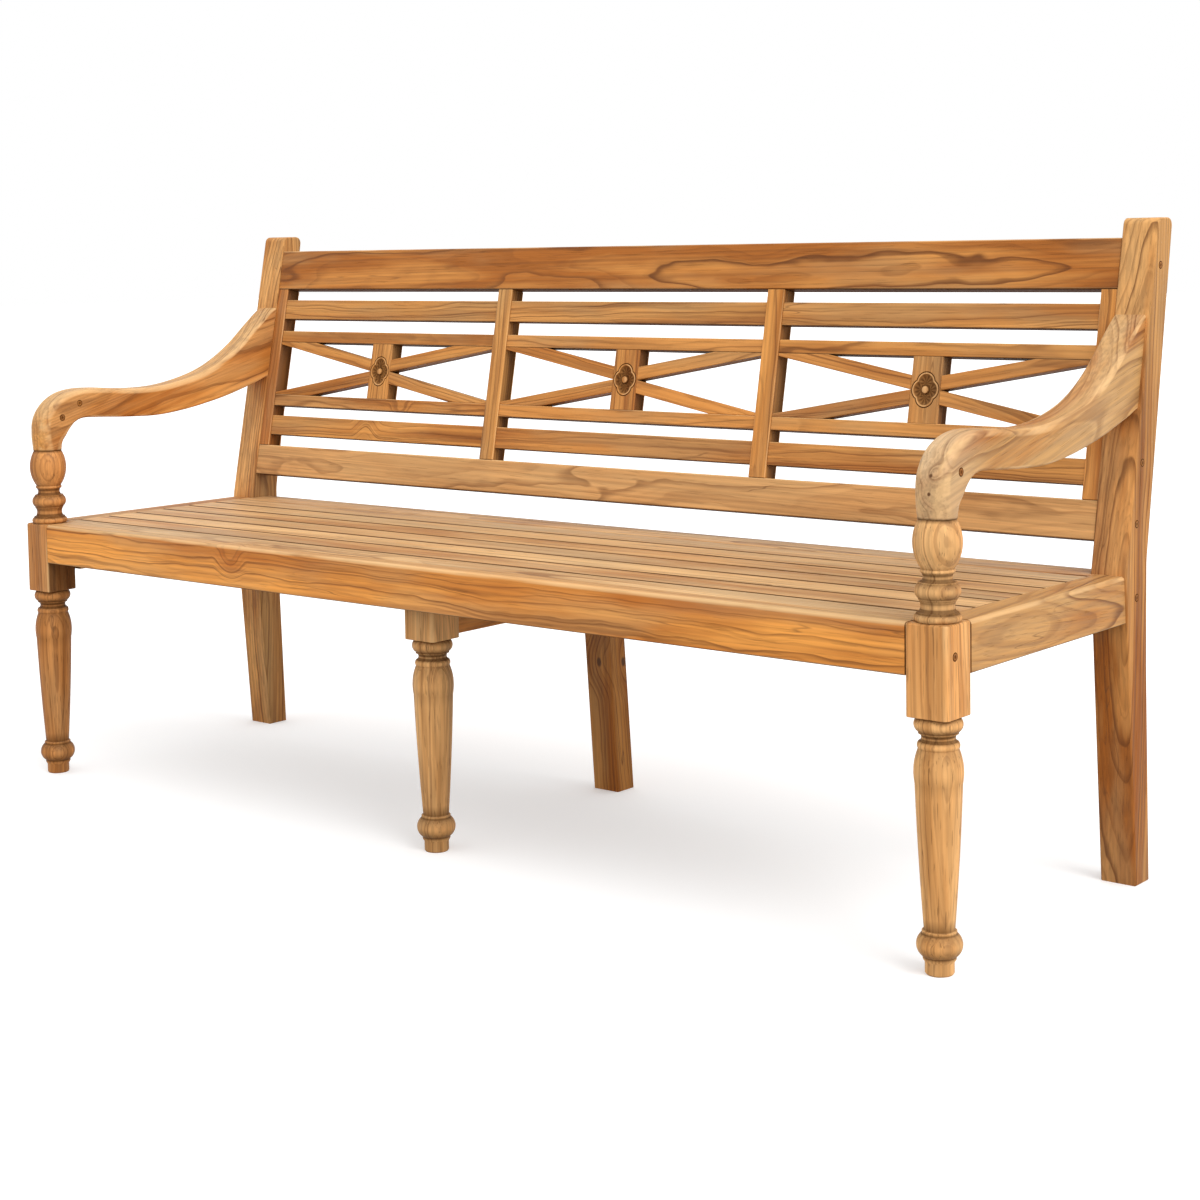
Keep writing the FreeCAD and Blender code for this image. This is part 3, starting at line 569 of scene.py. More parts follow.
# Rear posts: leg and raked upright sawn in one from a wide plank, with eased arrises and a rounded top. The
# middle rear leg is a straight splayed bar, lapped on the rear rail beside the centre bearer.
post_teak = teak("post_teak", pale=(0.76, 0.39, 0.13, 1), ring_spacing=0.0075, ring_strength=0.85,
                 streaks=0.45, heart_share=0.42)
post_low, post_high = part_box("rear_post_right")
rake = math.radians(11.6)
post_foot_front = front_y + 495 * MM
post_seat_front = front_y + 464 * MM
post_foot_depth = 40 * MM
post_knee_z = 300 * MM
post_knee_depth = 53 * MM
post_seat_depth = 63 * MM
post_top_depth = 43 * MM
post_back_bend_rise = 14 * MM
post_bend_round = 90 * MM
post_top_round = 11 * MM
post_ease = 2.5 * MM
post_splay = (post_foot_front - post_seat_front) / seat_z
post_top_front = post_seat_front + (post_high.z - seat_z) * math.tan(rake)
post_outline = rounded([
    (post_foot_front, 0.0, 0.0),
    (post_seat_front, seat_z, post_bend_round),
    (post_top_front, post_high.z, post_top_round),
    (post_top_front + post_top_depth, post_high.z, post_top_round),
    (post_seat_front + post_seat_depth, seat_z + post_back_bend_rise, post_bend_round),
    (post_foot_front - post_splay * post_knee_z + post_knee_depth, post_knee_z, post_bend_round),
    (post_foot_front + post_foot_depth, 0.0, 0.0),
], steps=8)


def sideways(a, b, t):
    return (t, a, b)


post = prism(post_outline, post_low.x, post_high.x, sideways, post_ease, post_ease)
# Below the arm each post is painted darker, as the arm's shadow, and below the seat darker again, as the
# seat's shadow.
post_arm_shadow_z = seat_z + 190 * MM
post_seat_shadow_z = seat_z - 20 * MM
right_post = timber(post, (0, 0.09, 1), (0.0, 0.0, 0.0), (0.05, 0.02), (0.03, 0.02))
left_post = timber(moved(post, other_end), (0, 0.09, 1), (0.0, 0.0, 0.0), (0.03, 0.06), (0.03, 0.02))
# Painted shade below the arm and the seat, and painted light above the arm.
for name, node, grown_post, below, above in (
        ("sawn_post_right", "rear_post_right", right_post, (0.3, 0.4, 0.0), (-0.5, 0.05, 0.0)),
        ("sawn_post_left", "rear_post_left", left_post, (0.0, 0.1, 0.1), (-0.15, 0.05, 0.0))):
    changed = toned(grown_post, lambda point: below if point.z < post_arm_shadow_z else above)
    changed = toned(changed, lambda point: (0.2, 0.25, 0.0) if point.z < post_seat_shadow_z else (0.0, 0.0, 0.0))
    piece(name, [changed], post_teak, [node])
leg_low, leg_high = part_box("rear_leg_middle")
rear_rail_front = front_y + 478 * MM
rail_under_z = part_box("rear_rail")[0].z
leg_foot_front = leg_high.y - post_foot_depth
lap_back = leg_foot_front - post_splay * rail_under_z + post_foot_depth
middle_outline = [
    (leg_foot_front, 0.0),
    (leg_foot_front - post_splay * slat_under_z, slat_under_z),
    (rear_rail_front, slat_under_z),
    (rear_rail_front, rail_under_z),
    (lap_back, rail_under_z),
    (leg_high.y, 0.0),
]
middle_leg_ease = 1.5 * MM
middle_leg = prism(middle_outline, leg_low.x, leg_high.x, sideways, middle_leg_ease, middle_leg_ease)
knot_z = 214 * MM
knot_face_y = leg_foot_front - post_splay * knot_z
knot_x = -20 * MM
side_knot_y = front_y + 497 * MM
side_knot_z = 212 * MM
knots = [(knot_x, knot_face_y, knot_z), (leg_high.x, side_knot_y, side_knot_z)]
grown_leg = timber(middle_leg, (0, -0.07, 1), (0.15, 0.3, 0.0), marks=knots)
knotty_teak = teak("knotty_teak", ring_spacing=0.006, ring_strength=0.9, streaks=0.6, heart_share=0.6,
                   cracks=0.9, first_knot=grown_leg["marks"][0], second_knot=grown_leg["marks"][1],
                   knot_size=0.006)
piece("sawn_leg_middle", [grown_leg], knotty_teak, ["rear_leg_middle"])


# Seat frame: planed rails tenoned into the leg blocks and posts, with bearers screwed inside them. The front
# rail has a softly rounded upper arris and strong stripes, the side rails show arches of flat-sawn boards.
rail_teak = teak("rail_teak", pale=(0.88, 0.395, 0.088, 1), heart=(0.49, 0.16, 0.025, 1),
                 grey=(0.56, 0.35, 0.16, 1), ring_spacing=0.005, ring_strength=0.7, streaks=0.5,
                 heart_share=0.42, weathering=0.3, wander=0.022, bleach=0.75)
side_teak = teak("side_teak", pale=(0.53, 0.27, 0.09, 1), ring_spacing=0.009, ring_strength=0.9, streaks=0.2,
                 heart_share=0.35, wander=0.09)
rail_ease = 2.5 * MM
rail_top_round = 6 * MM
rail_inner_round = 0.5 * MM
rail_under_shade = 0.9
front_rail_thickness = 30 * MM
block_inner = corner_leg_x - block_half
half_length = corner_leg_x + block_half
side_thickness = 42 * MM
side_inner = half_length - side_thickness
rail_sink = 6 * MM
front_outline = rounded([
    (front_y, rail_under_z, rail_ease),
    (front_y + front_rail_thickness, rail_under_z, rail_ease),
    (front_y + front_rail_thickness, seat_z, rail_inner_round),
    (front_y, seat_z, rail_top_round),
], steps=5)


def shaded_below(shell, low, reach, amount):
    """The shell with a dark lower arris: painted shade under the rounded edge."""
    return soiled_and_shaded(shell, lambda point: amount * (1 - eased(point.z - low, 0.0, reach)))


front_rail = jointed(front_outline, -block_inner, block_inner, sideways)
# The lower arris of the front rail is painted dark, as shade.
front_rail = shaded_below(front_rail, rail_under_z, rail_ease, rail_under_shade)
piece("front_seat_rail", [timber(front_rail, (1, 0, 0), (0.0, 0.4, 0.0), (0.05, 0.055), (0.0, 0.002))],
      rail_teak, ["front_rail"])


def lengthwise(a, b, t):
    return (a, t, b)


side_outline = rounded([
    (side_inner, rail_under_z, rail_ease),
    (half_length, rail_under_z, rail_ease),
    (half_length, seat_z, rail_top_round),
    (side_inner, seat_z, rail_inner_round),
], steps=5)
side_front = front_y + 2 * block_half
side_back = post_seat_front + rail_sink
side_rail = jointed(side_outline, side_front, side_back, lengthwise)
# The lower arris of the side rail is painted dark, as shade.
side_rail = shaded_below(side_rail, rail_under_z, rail_ease, rail_under_shade)
piece("side_seat_rail_right", [timber(side_rail, (0, 1, 0), (-0.15, 0.0, 0.1), (0.0, 0.035), (0.05, 0.06))],
      side_teak, ["side_rail_right"])
piece("side_seat_rail_left", [timber(moved(side_rail, other_end), (0, 1, 0), (-0.1, 0.0, 0.1))],
      side_teak, ["side_rail_left"])
bearer_ease = 1.5 * MM
for node, along, place in (
        ("rear_rail", (1, 0, 0), sideways),
        ("seat_bearer_left", (0, 1, 0), lengthwise),
        ("seat_bearer_right", (0, 1, 0), lengthwise),
        ("seat_bearer_centre", (0, 1, 0), lengthwise)):
    low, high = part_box(node)
    if place is sideways:
        outline = rounded(rectangle(low.y, high.y, low.z, high.z, bearer_ease))
        shell = jointed(outline, low.x, high.x, place)
    else:
        outline = rounded(rectangle(low.x, high.x, low.z, high.z, bearer_ease))
        shell = jointed(outline, low.y, high.y, place)
    piece("under_" + node, [timber(shell, along, (0.25, 0.1, 0.1))], rail_teak, [node])


# Seat boards: planed teak boards laid side by side with narrow gaps, screwed to the bearers from below. The
# first and last are notched round the leg blocks and the posts, and every board has a figure of its own.
seat_teak = teak("seat_teak", pale=(0.76, 0.46, 0.205, 1), heart=(0.44, 0.195, 0.062, 1),
                 grey=(0.53, 0.36, 0.19, 1), ring_strength=0.65, streaks=0.5, heart_share=0.27,
                 weathering=0.4, wander=0.03)
board_ease = 2.2 * MM
board_corner = 0.5 * MM
notch_gap = 0.15 * MM
first_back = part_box("seat_slat_1")[1].y
rear_front, rear_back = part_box("seat_slat_8")[0].y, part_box("seat_slat_8")[1].y
second_low, second_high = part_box("seat_slat_2")
board_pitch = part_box("seat_slat_3")[0].y - second_low.y
block_back = front_y + 2 * block_half + notch_gap
post_notch = post_low.x - notch_gap
block_notch = block_inner - notch_gap
rail_back = front_y + front_rail_thickness
first_outline = rounded([
    (-block_notch, rail_back, 0.0), (block_notch, rail_back, 0.0), (block_notch, block_back, 0.0),
    (side_inner, block_back, 0.0), (side_inner, first_back, board_corner),
    (-side_inner, first_back, board_corner), (-side_inner, block_back, 0.0), (-block_notch, block_back, 0.0),
])
rear_outline = rounded([
    (-side_inner, rear_front, board_corner), (side_inner, rear_front, board_corner),
    (side_inner, post_seat_front, 0.0), (post_notch, post_seat_front, 0.0),
    (post_notch, rear_back, board_corner), (-post_notch, rear_back, board_corner),
    (-post_notch, post_seat_front, 0.0), (-side_inner, post_seat_front, 0.0),
])


def notched_soil(point):
    """Dirt in the joints round a notched board. The rear edge of the seat stands free and stays clean."""
    in_joint = slat_under_z < point.z < seat_z - 0.6 * board_ease
    return joint_grime * (in_joint and point.y < rear_back - board_ease)


for name, node, outline, tone in (
        ("notched_board_front", "seat_slat_1", first_outline, (-0.1, 0.0, 0.25)),
        ("notched_board_rear", "seat_slat_8", rear_outline, (0.3, 0.2, 0.0))):
    shell = prism(outline, slat_under_z, seat_z, upright, board_ease, board_ease, 0.0)
    shell = soiled_and_shaded(shell, notched_soil)
    piece(name, [timber(shell, (1, 0, 0), tone)], seat_teak, [node])


def laying_group(name, inputs):
    """A new group of geometry nodes, and what comes in by its inputs."""
    tree = bpy.data.node_groups.new(name, "GeometryNodeTree")
    for label, kind in inputs:
        tree.interface.new_socket(label, in_out="INPUT", socket_type="NodeSocket" + kind)
    tree.interface.new_socket("Geometry", in_out="OUTPUT", socket_type="NodeSocketGeometry")
    return tree, add(tree, "NodeGroupInput").outputs


def end_laying(tree, given, laid, spreads):
    """The end of a group: each copy draws its own values between two limits, and all become one mesh."""
    for label, (low, high) in spreads.items():
        drawn = add(tree, "FunctionNodeRandomValue", {0: low, 1: high, "Seed": given["Seed"]},
                    data_type="FLOAT_VECTOR").outputs[0]
        laid = add(tree, "GeometryNodeStoreNamedAttribute", {"Geometry": laid, "Name": label, "Value": drawn},
                   data_type="FLOAT_VECTOR", domain="INSTANCE").outputs[0]
    solid = add(tree, "GeometryNodeRealizeInstances", {"Geometry": laid}).outputs[0]
    finish = {"Geometry": solid, "Material": given["Material"]}
    solid = add(tree, "GeometryNodeSetMaterial", finish).outputs[0]
    add(tree, "NodeGroupOutput", {"Geometry": solid})


def lay(made, group, values):
    """Lets a group of geometry nodes make an object, with the inputs of the group set by their names."""
    modifier = made.modifiers.new("laid", "NODES")
    modifier.node_group = group
    for item in group.interface.items_tree:
        if item.in_out == "INPUT" and item.name in values:
            modifier[item.identifier] = values[item.name]


def board_grid():
    """Lays copies of a board in rows and columns, each with its own tone and its own stretch of the tree."""
    tree, given = laying_group("board_grid", (
        ("Board", "Object"), ("Columns", "Int"), ("Column Pitch", "Vector"), ("Rows", "Int"),
        ("Row Pitch", "Vector"), ("Start", "Vector"), ("Lean", "Vector"), ("Tone Low", "Vector"),
        ("Tone High", "Vector"), ("Seed", "Int"), ("Material", "Material")))
    row = add(tree, "GeometryNodeMeshLine", {"Count": given["Rows"], "Offset": given["Row Pitch"]}).outputs[0]
    column = add(tree, "GeometryNodeMeshLine", {
        "Count": given["Columns"],
        "Start Location": given["Start"],
        "Offset": given["Column Pitch"],
    }).outputs[0]
    grid = add(tree, "GeometryNodeInstanceOnPoints", {"Points": column, "Instance": row}).outputs[0]
    grid = add(tree, "GeometryNodeRealizeInstances", {"Geometry": grid}).outputs[0]
    board = add(tree, "GeometryNodeObjectInfo", {"Object": given["Board"]}).outputs["Geometry"]
    laid = add(tree, "GeometryNodeInstanceOnPoints",
               {"Points": grid, "Instance": board, "Rotation": given["Lean"]}).outputs[0]
    end_laying(tree, given, laid, {
        "row_tone": (given["Tone Low"], given["Tone High"]),
        "board_shift": ((0, -0.03, -0.02), (50, 0.03, 0.02)),
    })
    return tree


def laid_boards(name, boards, slot, nodes, **sizes):
    """A finished piece of repeated boards. Sizes are inputs of the grid, written with underscores."""
    pattern = bpy.data.objects.new(name + "_pattern", mesh_of(name + "_pattern", boards))
    values = {key.replace("_", " ").title(): value for key, value in sizes.items()}
    values["Board"] = pattern
    made = placed(name, bpy.data.meshes.new(name))
    lay(made, grid_of_boards, values)
    settled(made, nodes)
    bpy.data.objects.remove(pattern)


grid_of_boards = board_grid()
board_width = second_high.y - second_low.y
board_thick = seat_z - slat_under_z
gap_shade_width = 1.6 * MM
gap_shade_edge = board_ease + gap_shade_width
gap_shade_amount = 0.9
board_outline = rounded([
    (0.0, 0.0, board_ease), (board_width, 0.0, board_ease), (board_width, board_thick, board_ease),
    (board_width - gap_shade_edge, board_thick, 0.0), (gap_shade_edge, board_thick, 0.0),
    (0.0, board_thick, board_ease),
])


def board_gap_shade(point):
    """Painted shade of a seat board near its long edges, where the gap to the next board is."""
    return gap_shade_amount * (1 - eased(min(point.y, board_width - point.y), 0.3 * board_ease, gap_shade_edge))


seat_board = jointed(board_outline, -side_inner, side_inner, sideways)
# The edges of each seat board are painted dark, as shade in the gaps.
seat_board = soiled_and_shaded(seat_board, board_gap_shade)
laid_boards(
    "seat_boards", [timber(seat_board, (1, 0, 0), (0.0, 0.0, 0.0))], "seat_boards",
    ["seat_slat_%d" % number for number in range(2, 8)],
    columns=6, column_pitch=(0.0, board_pitch, 0.0), rows=1, row_pitch=(0.0, 0.0, 0.0),
    start=(0.0, second_low.y, slat_under_z), lean=(0.0, 0.0, 0.0),
    tone_low=(-0.4, 0.0, 0.0), tone_high=(0.5, 0.3, 0.35), seed=4, material=seat_teak,
)


# Arms: sawn from thick plank and shaped by hand, sweeping from the post down over the seat to a round foot
# on the baluster, with well-rounded upper edges. A tenon holds the upper end in the post.
arm_teak = teak("arm_teak", grey=(0.56, 0.36, 0.17, 1), bleach=0.45, ring_spacing=0.007,
                ring_strength=0.75, streaks=0.4, heart_share=0.5, weathering=0.3)
arm_width = 47 * MM
arm_rise = 243 * MM
arm_join_rise = 259 * MM
arm_reach = post_seat_front + arm_join_rise * math.tan(rake) - corner_leg_y
arm_axis_x = post_low.x + arm_width / 2
arm_settle_share = 0.3
arm_smoothing = 6
arm_sections = [
    (1.120, 1.000, 1.050, 0.416, 0.07, 0.09),
    (1.037, 0.926, 0.986, 0.403, 0.08, 0.09),
    (0.964, 0.819, 0.934, 0.368, 0.11, 0.09),
    (0.871, 0.671, 0.871, 0.331, 0.15, 0.09),
    (0.774, 0.553, 0.797, 0.290, 0.19, 0.09),
    (0.677, 0.473, 0.710, 0.251, 0.21, 0.09),
    (0.564, 0.418, 0.589, 0.209, 0.21, 0.09),
    (0.455, 0.392, 0.461, 0.184, 0.21, 0.09),
    (0.331, 0.393, 0.327, 0.190, 0.21, 0.09),
    (0.208, 0.413, 0.198, 0.206, 0.21, 0.09),
    (0.121, 0.414, 0.130, 0.210, 0.21, 0.11),
    (0.054, 0.387, 0.095, 0.189, 0.23, 0.13),
    (0.000, 0.325, 0.071, 0.144, 0.26, 0.17),
    (-0.036, 0.230, 0.055, 0.093, 0.30, 0.23),
    (-0.047, 0.115, 0.046, 0.053, 0.36, 0.34),
    (-0.045, 0.000, 0.045, 0.000, 0.43, 0.43),
]


def smoothed(rows, steps):
    """More rows between the given ones, on a smooth curve through them."""
    finer = []
    last = len(rows) - 1
    for index in range(last):
        near = [rows[max(0, index - 1)], rows[index], rows[index + 1], rows[min(last, index + 2)]]
        for step in range(steps):
            t = step / steps
            row = []
            for p0, p1, p2, p3 in zip(*near):
                row.append(0.5 * (2 * p1 + (p2 - p0) * t + (2 * p0 - 5 * p1 + 4 * p2 - p3) * t * t
                                  + (3 * p1 - p0 - 3 * p2 + p3) * t ** 3))
            finer.append(tuple(row))
    return finer + [rows[last]]


def arm_loop(upper_reach, upper_share, lower_reach, lower_share, upper_round, lower_round):
    upper = Vector((corner_leg_y + upper_reach * arm_reach, arm_foot_z + upper_share * arm_rise))
    lower = Vector((corner_leg_y + lower_reach * arm_reach, arm_foot_z + lower_share * arm_rise))
    up = (upper - lower).normalized()
    height = (upper - lower).length
    settle = max(0.0, min(1.0, upper_reach / arm_settle_share))
    centre = corner_leg_x + settle * (arm_axis_x - corner_leg_x)
    half = arm_width / 2
    limit = min(half, height / 2) * 0.98
    under = min(limit, lower_round * arm_width)
    over = min(limit, upper_round * arm_width)
    outline = rounded([
        (-half, 0.0, under), (half, 0.0, under), (half, height, over), (-half, height, over),
    ], steps=6)
    return [(centre + a, lower.x + up.x * b, lower.y + up.y * b) for a, b in outline]


def cut_off(shell, point, outward):
    """The shell without what lies beyond a plane, closed again there."""
    work = bmesh.new()
    worn_and_lit = work.verts.layers.float.new("wear")
    corners = [work.verts.new(place) for place in shell["points"]]
    for corner, amount in zip(corners, shell["wear"]):
        corner[worn_and_lit] = amount
    for face in shell["faces"]:
        work.faces.new([corners[index] for index in face])
    everything = work.verts[:] + work.edges[:] + work.faces[:]
    bmesh.ops.bisect_plane(work, geom=everything, plane_co=point, plane_no=outward, clear_outer=True)
    rim = [edge for edge in work.edges if edge.is_boundary]
    bmesh.ops.holes_fill(work, edges=rim)
    work.verts.index_update()
    kept = {
        "points": [corner.co.copy() for corner in work.verts],
        "faces": [[corner.index for corner in face.verts] for face in work.faces],
        "wear": [corner[worn_and_lit] for corner in work.verts],
    }
    kept["dirt"] = [0.0] * len(kept["points"])
    work.free()
    return kept


arm_loops = [arm_loop(*row) for row in smoothed(arm_sections, arm_smoothing)]
whole_arm = bridged(arm_loops, [0.0] * len(arm_loops))
foot_seam = 2.5 * MM
post_outward = Vector((0, math.cos(rake), -math.sin(rake)))
arm = cut_off(whole_arm, Vector((0, post_seat_front, seat_z)) + post_outward * MM, post_outward)
# The arm's foot is darkened at its seam on the baluster: dirt in the joint and painted shadow under the
# overhang.
arm = shaded_below(arm, arm_foot_z, foot_seam, joint_grime)
arm_knots = [(873.5 * MM, front_y + 12 * MM, 607.5 * MM), (873 * MM, front_y + 8 * MM, 586 * MM)]
right_arm = timber(arm, (0, 1, 0.3), (0.0, 0.0, 0.0), (0.03, 0.09), (0.04, 0.02), arm_knots)


def end_grey(point):
    """The front end of the right arm, which hands and rain reach first, has gone greyer."""
    return (0.0, 0.0, 0.55 * (1 - eased(point.y - front_y, 30 * MM, 130 * MM)))


right_arm = toned(right_arm, end_grey)
right_arm_teak = teak("right_arm_teak", pale=(0.52, 0.28, 0.098, 1), grey=(0.60, 0.41, 0.23, 1),
                      ring_spacing=0.009, ring_strength=0.75, streaks=0.35, heart_share=0.42, weathering=0.3,
                      bleach=0.15, knot_size=0.0032, first_knot=right_arm["marks"][0],
                      second_knot=right_arm["marks"][1])
piece("scrolled_arm_right", [right_arm], right_arm_teak, ["arm_right"])
left_arm = timber(moved(arm, other_end), (0, 1, 0.3), (0.0, 0.15, 0.0), (0.0, 0.07), (0.03, 0.02))
piece("scrolled_arm_left", [left_arm], arm_teak, ["arm_left"])


# Frame of the back: top and bottom rail tenoned into the raked posts, end stiles against the posts and two
# uprights between the panels, all planed and with eased arrises.
back_teak = teak("back_teak", pale=(0.72, 0.34, 0.09, 1), ring_spacing=0.0055, ring_strength=0.85,
                 streaks=0.35, heart_share=0.48)
calm_teak = teak("calm_teak", pale=(0.72, 0.385, 0.145, 1), heart=(0.50, 0.22, 0.065, 1),
                 grey=(0.52, 0.33, 0.15, 1), ring_spacing=0.006, ring_strength=0.55, streaks=0.12,
                 heart_share=0.3, weathering=0.3, wander=0.08)
back_recess = 2 * MM
back_thickness = 30 * MM
back_ease = 2.5 * MM
upright_ease = 1.5 * MM
shade_depth = 3 * MM
shade_front = 1.1 * shade_depth
shade_back = back_thickness - shade_depth
shade_least = 0.45
shade_gain = 0.5
back_under_shade = 0.92


def inner_shade(depth, thickness):
    """Painted shade on the side of an upright at a depth behind its face. Its front and its back stay
    unpainted.
    """
    if depth < shade_depth or depth > thickness - upright_ease:
        return 0.0
    return shade_least + shade_gain * eased(depth, shade_depth, thickness - shade_depth)


back_front = post_seat_front + back_recess / math.cos(rake)
lean = Matrix.Translation((0, back_front, seat_z)) @ Matrix.Rotation(-rake, 4, "X")
up_slope = Vector((0, math.sin(rake), math.cos(rake)))
bottom_rail_low, bottom_rail_top = 45 * MM, 100 * MM
top_rail_low, top_rail_top = 392 * MM, 464 * MM
stile_width = 24.5 * MM
mullion_width = 31 * MM
post_inner = post_low.x
panel_width = (2 * post_inner - 2 * stile_width - 2 * mullion_width) / 3
panel_pitch = panel_width + mullion_width
back_rail_pith = (0.02, 0.07)
for name, node, low, high, material, tone in (
        ("raked_bottom_rail", "back_bottom_rail", bottom_rail_low, bottom_rail_top,
         calm_teak, (0.0, 0.0, 0.1)),
        ("raked_top_rail", "back_top_rail", top_rail_low, top_rail_top,
         back_teak, (0.2, 0.3, 0.0))):
    outline = rounded(rectangle(0.0, back_thickness, low, high, back_ease))
    shell = jointed(outline, -post_inner, post_inner, sideways)
    # The lower arris of each back rail is painted dark, as shade.
    shell = shaded_below(shell, low, back_ease, back_under_shade)
    board = timber(moved(shell, lean), (1, 0, 0), tone, back_rail_pith)
    piece(name, [board], material, [node])
for name, node, low, width, tone in (
        ("back_stile_at_left", "back_stile_left", -post_inner, stile_width, (0.1, 1.0, 0.0)),
        ("back_upright_left", "back_mullion_left", -panel_width / 2 - mullion_width, mullion_width,
         (-0.2, 0.0, 0.15)),
        ("back_upright_right", "back_mullion_right", panel_width / 2, mullion_width, (-0.3, 0.2, 0.0)),
        # The right stile's darker tone is painted shade from the post beside it.
        ("back_stile_at_right", "back_stile_right", post_inner - stile_width, stile_width, (0.2, 0.4, 0.0))):
    outline = rounded([
        (low, 0.0, upright_ease), (low + width, 0.0, upright_ease), (low + width, shade_front, 0.0),
        (low + width, shade_back, 0.0), (low + width, back_thickness, upright_ease),
        (low, back_thickness, upright_ease), (low, shade_back, 0.0), (low, shade_front, 0.0),
    ])
    shell = jointed(outline, bottom_rail_top, top_rail_low, upright)
    # The sides of each upright are painted dark, as shade, deeper towards the back.
    shell = soiled_and_shaded(shell, lambda point: inner_shade(point.y, back_thickness))
    piece(name, [timber(moved(shell, lean), up_slope, tone)], back_teak, [node])


# Panels of the back: in each of the three bays two thin slats and, between two narrow rails, a cross of four
# half bars mitred against a centre block. All is cut from planed strips and let into the uprights.
panel_teak = teak("panel_teak", ring_spacing=0.006, ring_strength=0.75, streaks=0.5, heart_share=0.48)
panel_recess = 2 * MM
slat_thickness = 18 * MM
cross_thickness = 25 * MM
bar_thickness = 20 * MM
slat_height = 36 * MM
lower_slat_low, upper_slat_low = 120 * MM, 336 * MM
cross_low, cross_high = 174 * MM, 314 * MM
cross_rail_height = 21 * MM
open_low, open_high = cross_low + cross_rail_height, cross_high - cross_rail_height
cross_middle = (open_low + open_high) / 2
bays = ["left", "centre", "right"]
bay_row = {
    "columns": 3, "column_pitch": (panel_pitch, 0.0, 0.0), "start": (-panel_pitch, back_front, seat_z),
    "lean": (-rake, 0.0, 0.0), "material": panel_teak,
}
for name, low, height, thickness, step, ends, seed in (
        ("back_slats", lower_slat_low, slat_height, slat_thickness, upper_slat_low - lower_slat_low,
         ("lower_slat", "upper_slat"), 3),
        ("cross_rails", cross_low, cross_rail_height, cross_thickness, open_high - cross_low,
         ("cross_rail_bottom", "cross_rail_top"), 8)):
    outline = rounded(rectangle(panel_recess, panel_recess + thickness, low, low + height, upright_ease))
    strip = jointed(outline, -panel_width / 2, panel_width / 2, sideways)
    # The lower arris of each slat and cross rail is painted dark, as shade.
    strip = shaded_below(strip, low, upright_ease, back_under_shade)
    laid_boards(
        name, [timber(strip, (1, 0, 0), (0.0, 0.0, 0.0))], "back_panels",
        ["panel_%s_%s" % (bay, end) for bay in bays for end in ends],
        rows=2, row_pitch=tuple(up_slope * step), tone_low=(-0.3, 0.0, 0.0), tone_high=(0.2, 0.4, 0.15),
        seed=seed, **bay_row,
    )
block_width = 50 * MM
bar_width = 21 * MM
bar_corner_rise = 4.5 * MM
bar_ease = 1.2 * MM
bar_run = (panel_width - block_width) / 2
bar_rise = open_high - bar_corner_rise - cross_middle
bar_slope = bar_rise / bar_run
bar_tall = bar_width / math.cos(math.atan(bar_slope))
bar_end = panel_width / 2
block_edge = block_width / 2


def bar_side_shade(point):
    """Painted shade on the sides of a bar, between its unpainted front and back."""
    depth = point.y - panel_recess
    return 0.9 * eased(depth, 0.5 * MM, 2 * MM) * eased(bar_thickness - depth, 0.0, 0.5 * MM)


bars = []
for right in (1, -1):
    for over in (1, -1):
        corners = [
            (block_edge, 0.0),
            (bar_end, bar_rise),
            (bar_end, open_high - cross_middle),
            (block_edge + (open_high - cross_middle - bar_tall) / bar_slope, open_high - cross_middle),
            (block_edge, bar_tall),
        ]
        outline = [(right * a, cross_middle + over * b) for a, b in corners]
        bar = prism(outline, panel_recess, panel_recess + bar_thickness, lengthwise, bar_ease, bar_ease, 0.0)
        # The sides of each bar are painted dark, as shade.
        bar = soiled_and_shaded(bar, bar_side_shade)
        tone = (figure.uniform(-0.1, 0.2), figure.uniform(0, 0.2), 0.0)
        bars.append(timber(bar, (right, 0, over * bar_slope), tone))
laid_boards(
    "cross_bars", bars, "back_panels",
    ["panel_%s_bar_%d" % (bay, number) for bay in bays for number in range(1, 5)],
    rows=1, row_pitch=(0.0, 0.0, 0.0), tone_low=(-0.1, 0.0, 0.0), tone_high=(0.15, 0.2, 0.1),
    seed=2, **bay_row,
)


# Centre blocks with a rosette: four hollow petals about a round boss, inside a raised rim and a cut groove,
# carved by hand into the face of the block. The groove and the hollows are painted dark, as shade and dirt,
# and the rim and the boss are painted light, as rubbed highlights.
rosette_lobe_across = 7.0 * MM
rosette_lobe_up = 10.8 * MM
rosette_side_radius = 12.8 * MM
rosette_end_radius = 12.4 * MM
rosette_rim = 2.0 * MM
rosette_groove = 1.9 * MM
groove_depth = 1.3 * MM
petal_depth = 2.2 * MM
boss_radius = 5.8 * MM
boss_height = 1.6 * MM
vein_depth = 0.25 * MM
carving_pitch = 0.5 * MM


